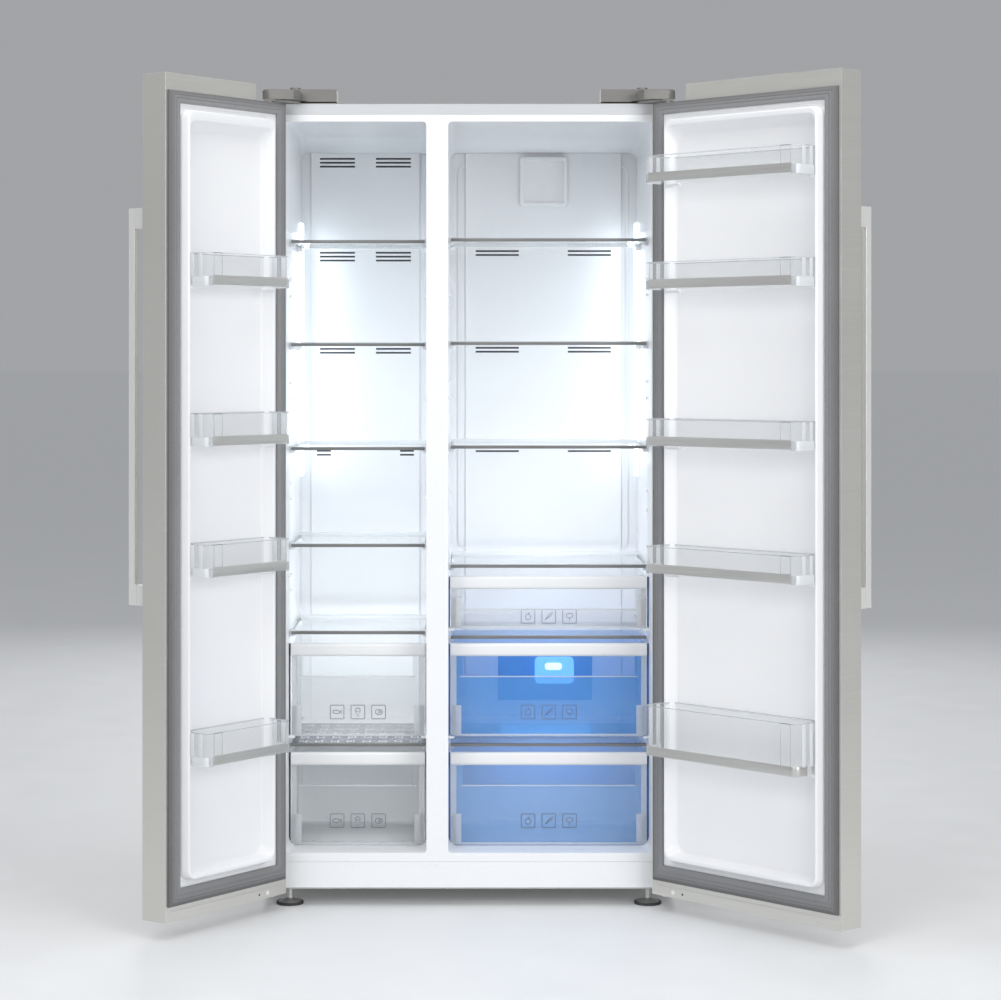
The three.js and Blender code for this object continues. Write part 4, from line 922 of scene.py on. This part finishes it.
def makeDrawer(node, finish, signs):
    low, high = nodeBox(node)
    bar, column, sill = drawer["bar"], drawer["column"], drawer["sill"]
    front = low[1] + drawer["wall"]
    barLow = high[2] - bar["tall"]
    edgedCopy(node + "Tub", node, finish, node, "clear_plastic", 0.8)

    def make(name, parts, partFinish):
        makePiece(node + name, parts, cabinetPlace, partFinish, node)

    # the bar's rounded section is carried across, and shrinks towards its middle at both ends
    grow = bar["proud"]
    flat = roundedLoop((low[1] - grow, barLow - grow), (low[1] + bar["deep"] + grow, high[2] + grow),
                       bar["radius"] + grow, 7)
    middle = flat.mean(0)
    stops = [(low[0] - grow + x, shrink) for x, shrink in bar["round"]]
    stops += [(high[0] + grow - x, shrink) for x, shrink in bar["round"][::-1]]
    loops = [np.column_stack([np.full(len(flat), x), middle + (flat - middle) * (1 - shrink / 14)])
             for x, shrink in stops]
    make("Handle", [loftLoops(loops)], whitePlastic)

    near, far = front - column["proud"], front + 1
    parts = []
    for edge, inside in ((low[0], 1), (high[0], -1)):
        start = edge + inside * column["edge"]
        parts.append(softBlock((start, near, low[2] + 3),
                               (edge + inside * column["wide"], far, barLow + 1), 0.8))
        parts.append(softBlock((start, near, low[2] + 2),
                               (edge + inside * column["foot"], far, low[2] + column["footTall"]), 0.8))
    parts.append(softBlock((low[0] + sill["side"], near, low[2]),
                           (high[0] - sill["side"], far, low[2] + sill["tall"]), 0.8))
    slot = drawer["slot"]
    ridge = barLow - slot["below"]
    parts.append(softBlock((low[0] + slot["side"], near, ridge - slot["tall"]),
                           (high[0] - slot["side"], front + 4, ridge), 1))
    make("Frame", parts, veilPlastic)

    ribs = drawer["ribs"]  # short ribs on the floor, behind the tub's front
    count = int((high[0] - low[0] - 40) / ribs["pitch"])
    near, half = front + ribs["behind"], ribs["wide"] / 2
    parts = [softBlock((x - half, near, low[2] + ribs["low"]),
                       (x + half, near + ribs["length"], low[2] + ribs["high"]), 1.2, 3)
             for x in np.linspace(low[0] + ribs["side"], high[0] - ribs["side"], count)]
    make("Ribs", parts, ribPlastic)
    centre = ((low[0] + high[0]) / 2, low[2] + (barLow - low[2]) * drawer["mark"]["share"])
    make("Signs", foodMarks(centre, front, signs), signGrey)


ribPlastic = makeFinish("paleRibPlastic", (0.90, 0.92, 0.94), (0.84, 0.87, 0.90), (0.15, 0.3), 70,
                        alpha=0.6)
signGrey = makeFinish("printedSignGrey", (0.20, 0.21, 0.23), (0.15, 0.16, 0.18), (0.4, 0.5), 120,
                      alpha=0.9)
gapShade = {
    "freezer": makeFinish("drawerGapShade", (0.09, 0.10, 0.12), (0.06, 0.065, 0.08), (0.6, 0.7), 90),
    "fridge": makeFinish("blueGapShade", (0.05, 0.17, 0.42), (0.035, 0.13, 0.36), (0.5, 0.6), 90),
}
gapShadeStrip = {"reach": 3.2, "near": 12, "far": 22, "end": 2}  # thin dark strips beside each drawer, on the walls: painted shade in the gap round the drawer, tinted by the blue lamp in the refrigerator
frozenFood = ("fish", "ice", "meat")
freshFood = ("fruit", "root", "leaf")
for node, finish, signs in (("freezer_drawer_low", clearPlastic, frozenFood),
                            ("freezer_drawer_high", clearPlastic, frozenFood),
                            ("fridge_drawer_low", paleBlueLampLitDrawer, freshFood),
                            ("fridge_drawer_mid", blueLampLitDrawer, freshFood),
                            ("fridge_drawer_small", clearPlastic, freshFood)):
    makeDrawer(node, finish, signs)
    low, high = nodeBox(node)
    name = node.split("_")[0]
    parts = wallPair(rooms[name], gapShadeStrip["reach"], low[1] + gapShadeStrip["near"], low[1] + gapShadeStrip["far"],
                     low[2] + gapShadeStrip["end"], high[2] - gapShadeStrip["end"], 0.8)
    makePiece(node + "GapShadeStrips", parts, cabinetPlace, gapShade[name], "cabinet")
print("drawers made")

bluePanel = makeFinish("deepBluePanel", (0.10, 0.30, 0.62), (0.075, 0.25, 0.56), (0.15, 0.25), 30)

# raised parts of the refrigerator's duct panel: extent, and steps of (inset, distance out, corner radius)
ductParts = {
    "airDiffuser": {"x": (124, 239), "z": (1590, 1711), "finish": linerWhite, "slot": "liner_plastic",
                    "steps": [(0, -0.5, 8), (0, 13, 8), (1, 15.4, 7), (3, 16, 6), (9, 16, 4), (10, 11, 3)]},
    "blueLampPanel": {"x": (71, 299), "z": (391, 500), "finish": bluePanel, "slot": "lens",
                      "steps": [(0, -0.5, 4), (0, 2, 4), (1, 3, 4)]},
    "blueLampHousing": {"x": (160, 255), "z": (432, 497), "finish": blueLens, "slot": "lens",
                        "steps": [(0, 2.5, 12), (0, 10, 12), (2, 13, 10), (5, 14, 8)]},
    "blueLampBulb": {"x": (184, 226), "z": (466, 483), "finish": lampLens, "slot": "lens",
                     "steps": [(0, 13.5, 8.5), (0, 15, 8.5), (2, 17, 6)]},
    "embossedPlate": {"x": (129, 234), "z": (727, 758), "finish": linerWhite, "slot": "liner_plastic",
                      "steps": [(0, -0.5, 3), (0, 2.5, 3), (0.6, 3, 2.5)]},
    "panelBead": {"x": (-26, 386), "z": (760, 1690), "finish": linerWhite, "slot": "liner_plastic",
                  "steps": [(0, -0.5, 20), (0, 0.9, 20), (3, 0.9, 17), (3, -0.5, 17)]},
}


def steppedPanel(x, z, front, steps):
    # rounded rectangles stepping out from the panel's face: inset, distance out, corner radius
    loops = []
    for inset, out, radius in steps:
        flat = roundedLoop((x[0] + inset, z[0] + inset), (x[1] - inset, z[1] - inset), radius)
        loops.append(np.column_stack([flat[:, 0], np.full(len(flat), front - out), flat[:, 1]]))
    return loops


ductFront = nodeBox("fridge_duct_panel")[0][1]
for name, form in ductParts.items():
    loops = steppedPanel(form["x"], form["z"], ductFront, form["steps"])
    part = loftLoops(loops, wrap=name == "panelBead")
    makePiece(name, [part], cabinetPlace, form["finish"], "cabinet")

flank = {"near": 6, "far": 9, "over": 4}  # strips that close the duct panel against the walls
shade = {"inset": 4, "near": 3.2, "far": 4.4}  # dark sheet behind the vents
for name, room in rooms.items():
    low, high = nodeBox(name + "_duct_panel")
    near, far, over = low[1] + flank["near"], low[1] + flank["far"], high[2] + flank["over"]
    parts = [softBlock((room["left"] - 0.5, near, low[2]), (low[0] + 1, far, over), 0.8, 2),
             softBlock((high[0] - 1, near, low[2]), (room["right"] + 0.5, far, over), 0.8, 2)]
    edgedCopy(name + "DuctCover", name + "_duct_panel", linerWhite, "cabinet", "liner_plastic", 1.2)
    makePiece(name + "DuctFlanks", parts, cabinetPlace, linerWhite, "cabinet")
    inset = shade["inset"]
    back = softBlock((low[0] + inset, low[1] + shade["near"], low[2] + inset),
                     (high[0] - inset, low[1] + shade["far"], high[2] - inset), 0.4, 2)
    makePiece(name + "DuctShade", [back], cabinetPlace, slotDark, "cabinet")
    edgedCopy(name + "LightLens", name + "_light", lampLens, "cabinet", "lens", 3.0, 3)

stripLight = {"size": (0.03, 0.56), "power": 0.37, "colour": (0.86, 0.95, 1.0), "out": 0.012, "forward": -0.35}
ceilingLight = {"size": (0.26, 0.05), "power": {"freezer": 0.05, "fridge": 0.01}, "colour": (0.88, 0.96, 1.0),
                "inward": 40, "up": 1715, "aim": (0, 0.45, -1.0)}
mouthLight = {"size": (0.24, 1.15), "power": {"freezer": 1.239, "fridge": 1.298}, "colour": (0.93, 0.97, 1.0),
              "inward": 112, "up": 760, "aim": (0, 1, 0)}
drawerLight = {"wide": 0.22, "tallShare": 0.5, "lift": 20, "aim": (0, 1, -0.25),
               "power": {"freezer_drawer_high": 0.6, "freezer_drawer_low": 0.11, "fridge_drawer_small": 0.42,
                         "fridge_drawer_mid": 0.05, "fridge_drawer_low": 0.05}}
blueLights = {
    "blueLampMid": {"place": (185, 505, 450), "aim": (0, -1.0, -0.1), "size": (0.22, 0.1), "power": 0.26},
    "blueLampLow": {"place": (185, 385, 300), "aim": (0, -0.6, -1.0), "size": (0.3, 0.06), "power": 0.12},
}
blueColour = (0.14, 0.44, 1.0)


def makeInnerLight(name, place, aim, size, power, colour):  # a small softbox inside the cabinet
    spot = cabinetPlace([place])[0]
    return makeSoftbox(name, spot, spot + aim, size, power, colour)


for name, towards in (("freezer", 1), ("fridge", -1)):
    low, high = nodeBox(name + "_light")
    place = (low + high) / 2 + [towards * stripLight["out"] / mm, 0, 0]
    makeInnerLight(name + "StripLight", place, (towards, stripLight["forward"], 0), stripLight["size"],
                   stripLight["power"], stripLight["colour"])
    across = (rooms[name]["left"] + rooms[name]["right"]) / 2
    for label, form in (("CeilingLight", ceilingLight), ("MouthLight", mouthLight)):
        glow = makeInnerLight(name + label, (across, form["inward"], form["up"]), form["aim"], form["size"],
                              form["power"][name], form["colour"])
        glow.visible_glossy = label != "MouthLight"
for node, power in drawerLight["power"].items():
    low, high = nodeBox(node)
    place = ((low[0] + high[0]) / 2, mouthLight["inward"], (low[2] + high[2]) / 2 + drawerLight["lift"])
    glow = makeInnerLight(node + "Glow", place, drawerLight["aim"],
                          (drawerLight["wide"], (high[2] - low[2]) * mm * drawerLight["tallShare"]),
                          power, mouthLight["colour"])
    glow.visible_glossy = False
for name, form in blueLights.items():
    makeInnerLight(name, form["place"], form["aim"], form["size"], form["power"], blueColour)
print("ducts and lamps made")

# new name, node, finish, body, slot, edge
shell = [
    ("frontFramePlate", "front_frame", whitePaint, "cabinet", "white_paint", 0.6),
    ("topRailStrip", "top_rail", railPaint, "cabinet", "rail_paint", 0.8),
    ("kickPlatePanel", "kick_plate", whitePaint, "cabinet", "white_paint", 0.7),
    ("cabinetWrapSheet", "cabinet_wrap", sidePaint, "cabinet", "painted_sides", 0.5),
    ("rearPanelSheet", "rear_panel", galvanised, "cabinet", "galvanised", 0.5),
    ("basePanSheet", "base_pan", zincPlate, "cabinet", "zinc", 0.6),
    ("compressorCan", "compressor", blackPaint, "cabinet", "black_paint", 1.2),
    ("evaporatorCoil", "evaporator", coilMetal, "cabinet", "coil_aluminium", 0.8),
    ("fanWheel", "evaporator_fan", blackPlastic, "fan", "black_plastic", 0.4),
]
for side in bodyOf:
    shell += [
        (side + "UpperHingePlate", f"upper_hinge_{side}", zincPlate, "cabinet", "zinc", 0.6),
        (side + "LowerHingePlate", f"lower_hinge_{side}", chromeMetal, "cabinet", "chrome", 0.7),
        (side + "HingeCoverShell", f"hinge_cover_{side}", coverPlastic, "cabinet", "cover_plastic", 1.6, 3),
        (side + "FootScrew", f"front_foot_{side}", zincPlate, f"{side}_foot", "zinc", 0.6),
        (side + "RollerWheel", f"rear_roller_{side}", blackPlastic, f"{side}_roller", "black_plastic", 1.2),
    ]
for row in shell:
    edgedCopy(*row)

footRim = [(28.5, 0.0), (30.2, 0.6), (30.6, 2.0), (30.6, 5.2), (29.6, 6.4), (26, 6.4)]  # radius and height
for side in bodyOf:
    low, high = nodeBox(f"front_foot_{side}")
    centre = ((low[0] + high[0]) / 2, (low[1] + high[1]) / 2, 0)
    makePiece(side + "FootRubber", [latheRise(footRim, centre, 40)], cabinetPlace, blackPlastic, f"{side}_foot")
ownMaterial(nodes["foam_core"], foamFill)
print("cabinet made")
